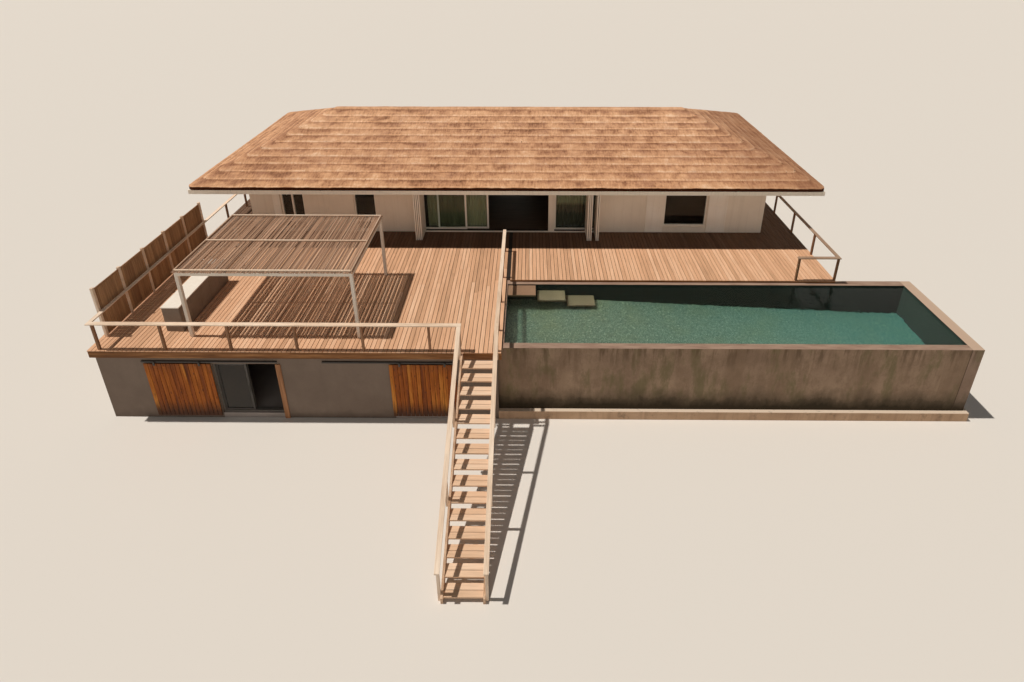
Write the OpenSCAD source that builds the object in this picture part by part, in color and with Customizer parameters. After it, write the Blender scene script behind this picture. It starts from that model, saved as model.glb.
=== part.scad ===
// Beach house on a slope: a thatched house at deck level, a terrace over a lower
// storey, a raised pool and an open stair. Millimetres, +Z up, the front faces -Y.
// The origin is on the lowest ground, at the middle of the overall plan.

/* [Levels] */
// Deck surface above the lowest ground
deck_level = 2940; // [2700:10:3300]
// Height from the deck to the soffit under the roof
soffit_h = 2450; // [2350:10:2800]
// Thickness of the deck boards
board_t = 30; // [20:1:45]
// Thickness of the concrete slab under the terrace
slab_t = 230; // [150:5:300]
// Thickness of the slab under the pool deck
pool_slab_t = 170; // [120:5:250]
// Thickness of the upper floor
floor_t = 200; // [150:5:300]

/* [Lower storey] */
// Width of the lower storey
lower_w = 12740; // [12500:10:14000]
// How far the front wall stands behind the terrace edge
lower_back = 200; // [170:5:400]
// Thickness of the lower walls
lower_wall_t = 250; // [200:5:350]
// Height of the lower floor above the ground
lower_floor_h = 200; // [150:5:300]
// Width of a garden doorway
garden_w = 2030; // [1800:10:2100]
// Height of a garden doorway
garden_h = 2060; // [1950:10:2150]
// Left edge of the first doorway, from the left corner
garden_a = 3640; // [3500:10:4200]
// Left edge of the second doorway, from the left corner
garden_b = 9340; // [9200:10:9500]
// Width of the timber board beside the first doorway
jamb_w = 160; // [100:5:200]
// Thickness of the timber board beside the first doorway
jamb_t = 30; // [20:1:34]

/* [Garden doors] */
// Width of the fixed metal frame round a garden doorway
door_frame_w = 50; // [40:1:70]
// Depth of the fixed metal frame
door_frame_d = 130; // [120:1:160]
// How far the metal frame sits behind the wall face
door_frame_back = 60; // [30:1:100]
// Width of a leaf's stiles and rails
stile_w = 65; // [50:1:90]
// Thickness of a leaf
leaf_t = 45; // [35:1:50]
// Thickness of the glass
glass_t = 16; // [8:1:24]
// How far two leaves lap over each other
leaf_lap = 60; // [40:1:80]
// Gap round a sliding leaf
leaf_gap = 8; // [6:1:12]
// Length of the pull handle on the sliding leaf
handle_l = 300; // [200:10:400]
// Thickness of the pull handle
handle_t = 16; // [12:1:20]
// How far the pull handle stands in front of the leaf
handle_out = 35; // [30:1:45]
// Height of the pull handle's middle above the lower floor
handle_z = 1000; // [900:10:1100]

/* [Shutters] */
// Width of a sliding shutter
shutter_w = 2130; // [2050:10:2200]
// Height of a sliding shutter
shutter_h = 2150; // [2090:10:2200]
// Thickness of a sliding shutter
shutter_t = 45; // [35:1:60]
// Gap between the wall and a shutter
shutter_gap = 40; // [36:1:60]
// Height of a shutter's lower edge above the ground
shutter_z = 160; // [60:5:180]
// Depth of the rail that carries a shutter
rail_t = 50; // [40:1:70]
// Height of the rail that carries a shutter
rail_h = 45; // [35:1:70]
// Width of the straps that hang a shutter from its rail
hanger_w = 60; // [40:1:90]
// Thickness of the straps
hanger_t = 12; // [8:1:16]

/* [Terrace] */
// Depth of the terrace, from its edge to the house wall
terrace_d = 6880; // [6600:10:7400]
// How far the terrace boards reach over the pool's left wall
terrace_lap = 140; // [100:5:160]
// Depth of the timber edge board under the terrace boards
edge_h = 260; // [200:5:300]
// Thickness of the timber edge board
edge_t = 40; // [25:1:50]
// How far the boards stand past the edge board
nosing = 20; // [0:1:40]

/* [Railings] */
// Height of the railings above the deck
railing_h = 1000; // [900:10:1200]
// Side of a railing post
post_w = 70; // [50:1:90]
// Width of the timber top rail
toprail_w = 130; // [100:1:160]
// Thickness of the timber top rail
toprail_t = 40; // [30:1:60]
// Distance of the front posts behind the terrace edge
post_back = 40; // [30:1:80]
// Bays of the front railing
front_bays = 5; // [4:1:7]
// Width of one bay of the front railing
front_bay_w = 2060; // [1900:10:2080]
// Left side of the first front post, from the left corner
front_post_x = 330; // [300:10:400]
// Bays of the left railing behind the screen
left_bays = 5; // [4:1:7]
// Posts of the railing beside the pool, between its end posts
pool_posts_n = 3; // [2:1:3]
// Distance from the corner post to the first of them
pool_first_bay = 880; // [800:10:1200]
// Distance between two of them
pool_bay_w = 1380; // [1200:10:1500]
// Length of the railing beside the pool
pool_rail_l = 5410; // [5000:10:5800]

/* [Left screen] */
// Height of the screen above the terrace
screen_h = 1850; // [1600:10:2100]
// Bays of the screen
screen_bays = 5; // [4:1:5]
// Distance between two screen posts
screen_bay_w = 1083; // [1000:1:1150]
// Side of a screen post
screen_post_w = 80; // [60:1:100]
// Thickness of the screen's timber panels
screen_panel_t = 30; // [20:1:40]
// Left side of the screen posts, from the left corner
screen_x = 130; // [100:5:160]
// First screen post, behind the terrace edge
screen_y = 590; // [550:10:700]

/* [Pergola] */
// Width of the pergola frame
pergola_w = 5470; // [5000:10:5800]
// Depth of the pergola frame
pergola_d = 3310; // [3000:10:3400]
// Height of the pergola frame above the terrace
pergola_h = 2460; // [2200:10:2600]
// Side of a pergola post
pergola_post_w = 100; // [80:1:130]
// Height of the pergola beams
pergola_beam_h = 130; // [100:1:180]
// Left side of the pergola, from the left corner
pergola_x = 2870; // [2700:10:3000]
// Front of the pergola, behind the terrace edge
pergola_y = 600; // [500:10:700]
// Diameter of the canopy's poles
reed_d = 44; // [36:1:60]
// Distance between the canopy's poles
reed_pitch = 42; // [34:1:43]
// How far the canopy's poles stand past the frame
reed_over = 60; // [20:5:150]
// Side of the batten across the poles
batten_w = 45; // [30:1:70]

/* [Kitchen counter] */
// Depth of the counter
counter_w = 560; // [500:10:700]
// Length of the counter
counter_l = 2600; // [2000:10:3200]
// Height of the counter
counter_h = 950; // [850:10:1000]
// Thickness of the worktop
worktop_t = 40; // [20:1:60]
// How far the worktop stands past the counter
worktop_over = 15; // [5:1:30]
// Left side of the counter, from the left corner
counter_x = 1960; // [1900:10:2200]
// Front of the counter, behind the terrace edge
counter_y = 850; // [800:10:1100]

/* [Stair] */
// Number of treads
tread_n = 15; // [14:1:16]
// Distance from one tread to the next on plan
going = 311; // [280:1:330]
// Depth of a tread
tread_d = 290; // [260:1:310]
// Thickness of a tread
tread_t = 50; // [40:1:60]
// Width of the treads between the strings
tread_w = 960; // [850:10:1000]
// Gap between the edge board and the first tread
stair_gap = 120; // [60:5:160]
// Thickness of a string
string_t = 60; // [45:1:70]
// Depth of a string across its slope
string_h = 250; // [220:5:300]
// Right side of the treads, from the lower storey's right corner
stair_in = 90; // [80:5:140]
// Number of posts on each side of the stair
stair_posts_n = 4; // [3:1:6]
// Height of the handrail above the line of the treads
handrail_h = 935; // [900:5:1000]
// Thickness of the handrail
handrail_t = 45; // [35:1:60]
// Room left in front of the lowest tread for the foot of the strings
string_toe = 40; // [20:5:80]
// Height of the strings' upper edge over the front edges of the treads
string_over = 30; // [10:5:50]

/* [Pool] */
// Width of the pool, outside
pool_w = 15280; // [15000:10:16500]
// Depth of the pool on plan, outside
pool_d = 3400; // [3300:10:3700]
// Front of the pool, behind the terrace edge
pool_y = 310; // [260:10:400]
// Pool wall top below the deck
coping_drop = 100; // [60:5:150]
// Thickness of the pool's front wall
pool_front_t = 220; // [200:5:300]
// Thickness of the pool's back wall
pool_back_t = 260; // [220:5:300]
// Thickness of the pool's left wall
pool_left_t = 200; // [180:5:260]
// Thickness of the pool's right wall
pool_right_t = 380; // [250:5:450]
// Depth of the basin's shallow end below the coping
shallow_depth = 970; // [900:10:1100]
// Depth of the basin's deep end below the coping
deep_depth = 1950; // [1500:10:2100]
// Length of the level floor at the shallow end
shelf_l = 3260; // [3250:10:5000]
// Thickness of the basin floor
basin_floor_t = 200; // [150:5:300]
// How far the footing stands past the walls
footing_out = 120; // [80:5:200]
// Height of the footing above the ground
footing_h = 340; // [200:10:500]
// Number of step slabs in the basin
step_n = 3; // [2:1:4]
// Width of a step slab
step_w = 1030; // [900:10:1100]
// Depth of a step slab on plan
step_d = 550; // [450:10:600]
// Thickness of a step slab
step_t = 90; // [60:5:150]
// Drop from one step slab to the next
step_drop = 320; // [250:5:340]
// First step slab below the coping
step_first = 50; // [20:5:100]
// Gap between two step slabs on plan
step_gap = 60; // [40:5:100]

/* [Pool deck] */
// Front edge of the pool deck over the pool's back wall
deck_lap = 130; // [80:5:180]
// Gap between the terrace and the pool deck
deck_gap = 140; // [60:5:160]
// Width of the deck beside the house
side_deck_w = 1420; // [1200:10:1600]
// Length of the short return of the right railing
return_l = 1430; // [1200:10:1600]
// Bays of the right railing
right_bays = 6; // [5:1:8]

/* [House] */
// Width of the house, outside its walls
house_w = 21940; // [21500:10:22400]
// Depth of the house, outside its walls
house_d = 6700; // [6300:10:7000]
// Left wall of the house, from the left corner
house_x = 1810; // [1700:10:2000]
// Thickness of the house walls
wall_t = 200; // [160:5:250]
// Roof overhang at the front and back
eave_y = 1290; // [1000:10:1400]
// Roof overhang at the sides
eave_x = 1700; // [1500:10:1710]
// Thickness of the soffit and its frame
soffit_t = 180; // [140:5:220]
// Thickness of the white eave board
eave_board_t = 40; // [25:1:50]
// How far the thatch stands past the eave board
thatch_out = 50; // [20:5:100]

/* [Windows and glazing] */
// Width of the wide front window
window_wide = 1830; // [1600:10:2000]
// Width of a narrow window
window_narrow = 940; // [800:10:1100]
// Height of the window heads above the deck
window_head = 2200; // [2000:10:2280]
// Height of the wide window's sill above the deck
sill_h = 300; // [200:10:500]
// Width of a window frame
sash_w = 60; // [40:1:80]
// Depth of a window frame
sash_d = 90; // [70:1:120]
// How far a window frame sits behind the wall face
sash_back = 40; // [20:1:70]
// Width of the upright between two panes
mullion_w = 75; // [50:1:90]
// Left side of the first front window, from the left wall
window_a_x = 1300; // [1100:10:1500]
// Width of the first front window, which has two panes
window_a_w = 1000; // [900:10:1200]
// Left side of the second front window, from the left wall
window_b_x = 4420; // [4200:10:4600]
// Right side of the third front window, from the right wall
window_c_in = 2430; // [2200:10:2700]
// Height of the tall windows' feet above the deck
window_foot = 40; // [20:5:100]
// Number of windows in the back wall
back_window_n = 5; // [3:2:7]
// Front of the side windows, behind the front wall
side_window_in = 2600; // [2000:10:3500]
// Left side of the glazed bay, from the left wall
bay_x = 6980; // [6900:10:7100]
// Width of the glazed bay
bay_w = 7930; // [7700:10:8000]
// Height of the glazed bay
bay_h = 2300; // [2250:5:2340]
// Depth of the lintel over the glazed bay
lintel_d = 340; // [320:5:400]
// Thickness of a folded shutter leaf
fold_t = 45; // [35:1:55]
// Depth of a folded shutter leaf
fold_d = 860; // [700:10:900]
// Distance between folded shutter leaves
fold_pitch = 75; // [60:5:90]
// Number of folded shutter leaves at the left side of the bay
fold_n = 4; // [3:1:4]
// Gap between these leaves and the side of the bay
fold_in = 150; // [20:5:200]
// Gap between the last right leaf and the side of the bay
fold_right_in = 70; // [20:5:100]
// Clear gap between the two last right leaves and the other three
fold_apart = 180; // [60:5:200]
// Width of the post in the glazed bay
bay_post_w = 260; // [200:5:300]
// Left side of the post in the glazed bay
bay_post_x = 5760; // [5600:10:5900]
// Width of a sliding glass leaf
glide_w = 2220; // [2100:10:2400]
// Thickness of a sliding glass leaf
glide_t = 50; // [40:1:60]
// Width of a sliding leaf's frame
glide_frame = 75; // [60:1:100]
// Left side of the second sliding leaf, from the bay's left side
glide_second_x = 950; // [700:10:1000]
// How much narrower the right leaf is
glide_short = 310; // [200:10:350]
// Thickness of the hanging curtains
curtain_t = 90; // [60:5:120]
// Width of the left curtain
curtain_left_w = 2600; // [2000:10:2700]
// Width of the right curtain
curtain_right_w = 1790; // [1500:10:1850]
// Left side of the left curtain, from the bay's left side
curtain_left_x = 500; // [300:10:550]
// Gap between the right curtain and the bay's right side
curtain_right_in = 60; // [30:5:100]

/* [Roof] */
// Height of the thatch edge
thatch_edge = 150; // [100:5:200]
// Pitch of the roof in degrees
roof_pitch = 21.8; // [18:0.1:30]
// Number of thatch courses on a slope
course_n = 11; // [8:1:14]
// Step at the lower edge of a course
course_step = 35; // [20:1:50]
// How far the underside of the thatch edge is cut back
thatch_cut = 60; // [30:5:90]
// Width of the flat bed under the ridge
ridge_bed = 420; // [300:10:500]
// Height of the ridge
ridge_rise = 90; // [60:5:120]

/* [Hidden] */

// Overall plan, which is centred on the origin
stair_out = stair_gap + tread_d + (tread_n - 1) * going;
site_w = lower_w + pool_w + footing_out;
site_d = string_toe + stair_out + terrace_d + house_d + eave_y;

// Places across the plan
left_x = -site_w / 2;
lower_right_x = left_x + lower_w;
terrace_right_x = lower_right_x + terrace_lap;
pool_left_x = lower_right_x;
pool_right_x = pool_left_x + pool_w;
house_left_x = left_x + house_x;
house_right_x = house_left_x + house_w;
deck_left_x = terrace_right_x + deck_gap;
deck_right_x = house_right_x + side_deck_w;
bay_left_x = house_left_x + bay_x;
bay_right_x = bay_left_x + bay_w;
eave_left_x = house_left_x - eave_x;
eave_right_x = house_right_x + eave_x;

// Places from front to back
front_y = -site_d / 2;
edge_y = front_y + string_toe + stair_out;
board_face_y = edge_y + nosing;
lower_y = edge_y + lower_back;
wall_y = edge_y + terrace_d;
back_y = wall_y + house_d;
pool_front_y = edge_y + pool_y;
pool_back_y = pool_front_y + pool_d;
deck_front_y = pool_back_y - deck_lap;
eave_front_y = wall_y - eave_y;
eave_back_y = back_y + eave_y;

// Heights
board_z = deck_level - board_t;
slab_z = board_z - slab_t;
pool_slab_z = board_z - pool_slab_t;
coping_z = deck_level - coping_drop;
soffit_z = deck_level + soffit_h;
thatch_z = soffit_z + soffit_t;
garden_head_z = lower_floor_h + garden_h;

// Stair slope and places
riser = deck_level / (tread_n + 1);
slope = riser / going;
first_front_y = edge_y - stair_gap - tread_d;
treads_right_x = lower_right_x - stair_in;
treads_left_x = treads_right_x - tread_w;
stair_left_x = treads_left_x - string_t;
stair_right_x = treads_right_x + string_t;

// Roof slopes
hip_run = (house_d + 2 * eave_y - ridge_bed) / 2;
course_w = hip_run / course_n;
roof_top = thatch_edge - course_step + hip_run * tan(roof_pitch);

module block(x0, x1, y0, y1, z0, z1) {
    translate([x0, y0, z0])
        cube([x1 - x0, y1 - y0, z1 - z0]);
}

// A rectangular frame in the XZ plane with members of one width
module frame(x0, x1, y0, y1, z0, z1, member) {
    difference() {
        block(x0, x1, y0, y1, z0, z1);
        block(x0 + member, x1 - member, y0 - 1, y1 + 1, z0 + member, z1 - member);
    }
}

// A flat outline in the YZ plane made into a plate between two X places
module side_plate(x0, x1, points) {
    translate([x0, 0, 0])
        rotate([90, 0, 90])
            linear_extrude(height = x1 - x0)
                polygon(points);
}

/* Lower storey */

garden_left = [left_x + garden_a, left_x + garden_b];

module lower_front_walls() {
    ends = [left_x, garden_left[0], garden_left[0] + garden_w,
            garden_left[1], garden_left[1] + garden_w, lower_right_x];
    color("rosybrown")
        for (i = [0, 2, 4])
            block(ends[i], ends[i + 1], lower_y, lower_y + lower_wall_t, 0, slab_z);
}

module lower_lintels() {
    color("rosybrown")
        for (x = garden_left)
            block(x, x + garden_w, lower_y, lower_y + lower_wall_t, garden_head_z, slab_z);
}

module lower_side_walls() {
    color("rosybrown")
        for (x = [left_x, lower_right_x - lower_wall_t])
            block(x, x + lower_wall_t, lower_y + lower_wall_t, wall_y, 0, slab_z);
}

module lower_back_wall() {
    color("rosybrown") {
        block(left_x, house_left_x, wall_y, wall_y + lower_wall_t, 0, slab_z);
        block(house_left_x, house_right_x, wall_y, wall_y + lower_wall_t, 0, deck_level);
    }
}

module lower_floor() {
    color("silver") {
        block(left_x + lower_wall_t, lower_right_x - lower_wall_t,
              lower_y + lower_wall_t, wall_y, 0, lower_floor_h);
        for (x = garden_left)
            block(x, x + garden_w, lower_y, lower_y + lower_wall_t + 1, 0, lower_floor_h);
    }
}

// Garden doorways: a metal frame with an outer track for the sliding leaf
// and an inner track for the fixed one
frame_y = lower_y + door_frame_back;
outer_leaf_y = frame_y + leaf_gap;
inner_leaf_y = outer_leaf_y + leaf_t + leaf_gap;
leaf_w = (garden_w - 2 * door_frame_w + leaf_lap) / 2 - leaf_gap;

module leaf_frame(x, y, z0, z1) {
    frame(x, x + leaf_w, y, y + leaf_t, z0, z1, stile_w);
}

module leaf_glass(x, y, z0, z1) {
    mid_y = y + (leaf_t - glass_t) / 2;
    block(x + stile_w, x + leaf_w - stile_w, mid_y, mid_y + glass_t, z0 + stile_w, z1 - stile_w);
}

fixed_z0 = lower_floor_h + door_frame_w;
fixed_z1 = garden_head_z - door_frame_w;
slide_x = garden_left[0] + door_frame_w + leaf_gap;
slide_z0 = fixed_z0 + leaf_gap;
slide_z1 = fixed_z1 - leaf_gap;

// Left sides of the fixed leaves: one in the first doorway, two in the second
fixed_first_x = garden_left[0] + door_frame_w;
fixed_second_x = garden_left[1] + door_frame_w;
fixed_third_x = garden_left[1] + garden_w - door_frame_w - leaf_w;

module garden_door_frames() {
    color("dimgray") {
        for (x = garden_left)
            frame(x, x + garden_w, frame_y, frame_y + door_frame_d,
                  lower_floor_h, garden_head_z, door_frame_w);
        leaf_frame(fixed_first_x, inner_leaf_y, fixed_z0, fixed_z1);
        leaf_frame(fixed_second_x, inner_leaf_y, fixed_z0, fixed_z1);
        leaf_frame(fixed_third_x, outer_leaf_y, fixed_z0, fixed_z1);
    }
}

module garden_fixed_glass() {
    color("lightblue", 0.4) {
        leaf_glass(fixed_first_x, inner_leaf_y, fixed_z0, fixed_z1);
        leaf_glass(fixed_second_x, inner_leaf_y, fixed_z0, fixed_z1);
        leaf_glass(fixed_third_x, outer_leaf_y, fixed_z0, fixed_z1);
    }
}

module garden_door_leaf() {
    x0 = slide_x + leaf_w - (stile_w + handle_t) / 2;
    x1 = x0 + handle_t;
    y = outer_leaf_y - handle_out;
    z0 = lower_floor_h + handle_z - handle_l / 2;
    z1 = z0 + handle_l;
    color("dimgray") {
        leaf_frame(slide_x, outer_leaf_y, slide_z0, slide_z1);
        difference() {
            block(x0, x1, y, outer_leaf_y + 1, z0, z1);
            block(x0 - 1, x1 + 1, y + handle_t, outer_leaf_y, z0 + handle_t, z1 - handle_t);
        }
    }
}

module garden_door_glass() {
    color("lightblue", 0.4)
        leaf_glass(slide_x, outer_leaf_y, slide_z0, slide_z1);
}

module door_jamb() {
    x = garden_left[0] + garden_w;
    color("peru")
        block(x, x + jamb_w, lower_y - jamb_t, lower_y, 0, garden_head_z);
}

// Timber shutters hang from rails on the wall face
shutter_y = lower_y - shutter_gap - shutter_t;
shutter_top = shutter_z + shutter_h;
shutter_rail_z = shutter_top + 30;
left_shutter_x = garden_left[0] - shutter_w;
right_shutter_x = garden_left[1] - (shutter_w - garden_w) / 2;

module shutter(x) {
    color("sienna") {
        block(x, x + shutter_w, shutter_y, shutter_y + shutter_t, shutter_z, shutter_top);
        for (hx = [x + shutter_w * 0.15, x + shutter_w * 0.85 - hanger_w])
            block(hx, hx + hanger_w, shutter_y, shutter_y + hanger_t, shutter_top - 1,
                  shutter_rail_z + rail_h);
    }
}

module left_shutter() { shutter(left_shutter_x); }

module right_shutter() { shutter(right_shutter_x); }

module shutter_rails() {
    color("dimgray")
        for (x = [left_shutter_x - 70, right_shutter_x - shutter_w + 20])
            block(x, x + 2 * shutter_w + 50, lower_y - rail_t, lower_y,
                  shutter_rail_z, shutter_rail_z + rail_h);
}

/* Terrace */

module terrace_slab() {
    color("silver")
        difference() {
            block(left_x + edge_t, lower_right_x, board_face_y + edge_t, back_y, slab_z, board_z);
            block(house_left_x, lower_right_x + 1, wall_y, back_y + 1, slab_z - 1, board_z + 1);
        }
}

module terrace_boards() {
    color("burlywood")
        difference() {
            block(left_x, terrace_right_x, edge_y, back_y, board_z, deck_level);
            block(house_left_x, terrace_right_x + 1, wall_y, back_y + 1,
                  board_z - 1, deck_level + 1);
        }
}

module terrace_edge_boards() {
    side_x = terrace_right_x - nosing - edge_t;
    color("sienna") {
        block(left_x, terrace_right_x, board_face_y, board_face_y + edge_t,
              board_z - edge_h, board_z);
        block(left_x, left_x + edge_t, board_face_y + edge_t - 1, back_y, slab_z, board_z);
        block(side_x, side_x + edge_t, pool_front_y, pool_back_y, coping_z, board_z);
    }
}

/* Railings */

rail_z = deck_level + railing_h;
front_post_y = edge_y + post_back;
rail_in = (toprail_w - post_w) / 2;
left_rail_x = left_x + screen_x + screen_post_w;
side_post_x = stair_right_x;
right_post_x = deck_right_x - post_w - nosing;
right_bay_w = (back_y - deck_front_y - post_w) / right_bays;
stair_post_x = stair_left_x - post_w;
screen_end_y = edge_y + screen_y + screen_bays * screen_bay_w + screen_post_w;
left_bay_w = (back_y - screen_end_y) / left_bays;

module railing_post(x, y) {
    block(x, x + post_w, y, y + post_w, deck_level, rail_z - toprail_t);
}

module railing_posts() {
    color("saddlebrown") {
        for (i = [0 : front_bays])
            railing_post(left_x + front_post_x + i * front_bay_w, front_post_y);
        railing_post(stair_post_x, front_post_y);
        for (y = [0, pool_rail_l - post_w])
            railing_post(side_post_x, front_post_y + y);
        for (i = [0 : pool_posts_n - 1])
            railing_post(side_post_x, front_post_y + pool_first_bay + i * pool_bay_w);
        for (i = [1 : left_bays])
            railing_post(left_rail_x + rail_in, screen_end_y + i * left_bay_w - post_w);
        for (i = [0 : right_bays])
            railing_post(right_post_x, deck_front_y + i * right_bay_w);
        railing_post(right_post_x - return_l, deck_front_y);
    }
}

module top_rail(x0, x1, y0, y1) {
    block(x0, x1, y0, y1, rail_z - toprail_t, rail_z);
}

module railing_rails() {
    front_rail_y = front_post_y - rail_in;
    side_end_y = front_post_y + pool_rail_l;
    color("wheat") {
        top_rail(left_rail_x, left_rail_x + toprail_w, front_rail_y, back_y);
        top_rail(left_rail_x, stair_left_x + rail_in, front_rail_y, front_rail_y + toprail_w);
        top_rail(side_post_x - rail_in, side_post_x + post_w + rail_in, front_rail_y, side_end_y);
        top_rail(right_post_x - rail_in, right_post_x + post_w + rail_in,
                 deck_front_y - rail_in, back_y);
        top_rail(right_post_x - return_l - rail_in, right_post_x,
                 deck_front_y - rail_in, deck_front_y + post_w + rail_in);
    }
}

/* Left screen */

module screen_posts() {
    x = left_x + screen_x;
    color("gainsboro")
        for (i = [0 : screen_bays]) {
            y = edge_y + screen_y + i * screen_bay_w;
            block(x, x + screen_post_w, y, y + screen_post_w, deck_level, deck_level + screen_h);
        }
}

module screen_panels() {
    x = left_x + screen_x + (screen_post_w - screen_panel_t) / 2;
    color("peru")
        for (i = [0 : screen_bays - 1]) {
            y = edge_y + screen_y + i * screen_bay_w;
            block(x, x + screen_panel_t, y + screen_post_w, y + screen_bay_w,
                  deck_level + 50, deck_level + screen_h - 60);
        }
}

/* Pergola */

pergola_left_x = left_x + pergola_x;
pergola_front_y = edge_y + pergola_y;
pergola_top_z = deck_level + pergola_h;

module pergola_posts() {
    color("white")
        for (x = [pergola_left_x, pergola_left_x + pergola_w - pergola_post_w])
            for (y = [pergola_front_y, pergola_front_y + pergola_d - pergola_post_w])
                block(x, x + pergola_post_w, y, y + pergola_post_w,
                      deck_level, pergola_top_z - pergola_beam_h);
}

module pergola_beams() {
    color("white")
        difference() {
            block(pergola_left_x, pergola_left_x + pergola_w,
                  pergola_front_y, pergola_front_y + pergola_d,
                  pergola_top_z - pergola_beam_h, pergola_top_z);
            block(pergola_left_x + pergola_post_w, pergola_left_x + pergola_w - pergola_post_w,
                  pergola_front_y + pergola_post_w, pergola_front_y + pergola_d - pergola_post_w,
                  pergola_top_z - pergola_beam_h - 1, pergola_top_z + 1);
        }
}

// Poles lie side by side across the beams, and each meets the next
module pergola_canopy() {
    pole_n = floor((pergola_w + 2 * reed_over - reed_d) / reed_pitch);
    first_x = pergola_left_x + (pergola_w - pole_n * reed_pitch) / 2;
    color("rosybrown")
        translate([first_x, pergola_front_y + pergola_d + reed_over, pergola_top_z + reed_d / 2])
            rotate([90, 0, 0])
                linear_extrude(height = pergola_d + 2 * reed_over)
                    for (i = [0 : pole_n])
                        translate([i * reed_pitch, 0])
                            circle(d = reed_d, $fn = 24);
}

// Battens hold the poles down round the edge and along the middle
module pergola_batten() {
    left = pergola_left_x;
    right = pergola_left_x + pergola_w;
    front = pergola_front_y;
    back = pergola_front_y + pergola_d;
    middle = (front + back - batten_w) / 2;
    z = pergola_top_z + reed_d;
    color("gainsboro")
        difference() {
            block(left, right, front, back, z, z + batten_w);
            block(left + batten_w, right - batten_w, front + batten_w, middle,
                  z - 1, z + batten_w + 1);
            block(left + batten_w, right - batten_w, middle + batten_w, back - batten_w,
                  z - 1, z + batten_w + 1);
        }
}

/* Kitchen counter */

module kitchen_counter() {
    x = left_x + counter_x;
    y = edge_y + counter_y;
    color("lightgray")
        block(x, x + counter_w, y, y + counter_l, deck_level, deck_level + counter_h - worktop_t);
}

module kitchen_worktop() {
    x = left_x + counter_x - worktop_over;
    y = edge_y + counter_y - worktop_over;
    color("whitesmoke")
        block(x, x + counter_w + 2 * worktop_over, y, y + counter_l + 2 * worktop_over,
              deck_level + counter_h - worktop_t, deck_level + counter_h);
}

/* Stair */

// Height of the line through the front edges of the treads
function nose_z(y) = deck_level - riser + (y - first_front_y) * slope;
// Place where that line, raised by a height, reaches a level
function nose_y(level, over) = first_front_y + (level - over - deck_level + riser) / slope;

string_drop = string_h / cos(atan(slope)) - string_over;

module stair_strings() {
    outline = [
        [front_y, 0],
        [front_y, nose_z(front_y) + string_over],
        [nose_y(board_z, string_over), board_z],
        [board_face_y, board_z],
        [board_face_y, nose_z(board_face_y) - string_drop],
        [nose_y(0, -string_drop), 0]
    ];
    color("tan") {
        side_plate(stair_left_x, treads_left_x, outline);
        side_plate(treads_right_x, stair_right_x, outline);
    }
}

module stair_treads() {
    color("burlywood")
        for (i = [0 : tread_n - 1]) {
            y = first_front_y - i * going;
            z = deck_level - (i + 1) * riser;
            block(treads_left_x, treads_right_x, y, y + tread_d, z - tread_t, z);
        }
}

stair_post_first = front_y + 60;
stair_post_last = edge_y - post_w - nosing;
// Play between a post's sloping head and the handrail
seat_play = 0.1;

module stair_post(x0, x1, y) {
    under = handrail_h - handrail_t - seat_play;
    side_plate(x0, x1, [
        [y, max(0, nose_z(y) - string_drop + 60)],
        [y, nose_z(y) + under],
        [y + post_w, nose_z(y + post_w) + under],
        [y + post_w, max(0, nose_z(y) - string_drop + 60)]
    ]);
}

module stair_posts() {
    step_y = (stair_post_last - stair_post_first) / (stair_posts_n - 1);
    color("saddlebrown")
        for (i = [0 : stair_posts_n - 1]) {
            stair_post(stair_left_x - post_w, stair_left_x, stair_post_first + i * step_y);
            stair_post(stair_right_x, stair_right_x + post_w, stair_post_first + i * step_y);
        }
}

module stair_handrails() {
    y0 = front_y;
    y1 = front_post_y - rail_in;
    outline = [
        [y0, nose_z(y0) + handrail_h - handrail_t],
        [y0, nose_z(y0) + handrail_h],
        [y1, nose_z(y1) + handrail_h],
        [y1, nose_z(y1) + handrail_h - handrail_t]
    ];
    color("wheat") {
        side_plate(stair_left_x - post_w - rail_in, stair_left_x + rail_in, outline);
        side_plate(stair_right_x - rail_in, stair_right_x + post_w + rail_in, outline);
    }
}

/* Pool */

basin_left_x = pool_left_x + pool_left_t;
basin_right_x = pool_right_x - pool_right_t;
basin_front_y = pool_front_y + pool_front_t;
basin_back_y = pool_back_y - pool_back_t;

// The front wall ends against the right wall, which runs through to the front
module pool_front_wall() {
    color("gray")
        block(pool_left_x, basin_right_x, pool_front_y, basin_front_y, 0, coping_z);
}

module pool_back_wall() {
    color("gray")
        block(pool_left_x, pool_right_x, basin_back_y, pool_back_y, 0, coping_z);
}

module pool_side_walls() {
    color("gray") {
        block(pool_left_x, basin_left_x, basin_front_y, basin_back_y, 0, coping_z);
        block(basin_right_x, pool_right_x, pool_front_y, basin_back_y, 0, coping_z);
    }
}

// Level under the steps, then sloping down to the deep end
module pool_floor() {
    length = basin_right_x - basin_left_x;
    shallow = coping_z - shallow_depth;
    deep = coping_z - deep_depth;
    color("cadetblue")
        translate([basin_left_x, basin_back_y, 0])
            rotate([90, 0, 0])
                linear_extrude(height = basin_back_y - basin_front_y)
                    polygon([
                        [0, shallow],
                        [shelf_l, shallow],
                        [length, deep],
                        [length, deep - basin_floor_t],
                        [shelf_l, shallow - basin_floor_t],
                        [0, shallow - basin_floor_t]
                    ]);
}

module pool_footing() {
    color("silver") {
        block(pool_left_x, pool_right_x + footing_out, pool_front_y - footing_out, pool_front_y,
              0, footing_h);
        block(pool_right_x, pool_right_x + footing_out, pool_front_y - 1, pool_back_y,
              0, footing_h);
    }
}

module pool_steps() {
    color("darkkhaki")
        for (i = [0 : step_n - 1]) {
            x = basin_left_x + i * (step_w + step_gap);
            z = coping_z - step_first - i * step_drop;
            block(x, x + step_w, basin_back_y - step_d, basin_back_y, z - step_t, z);
        }
}

/* Pool deck */

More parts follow.
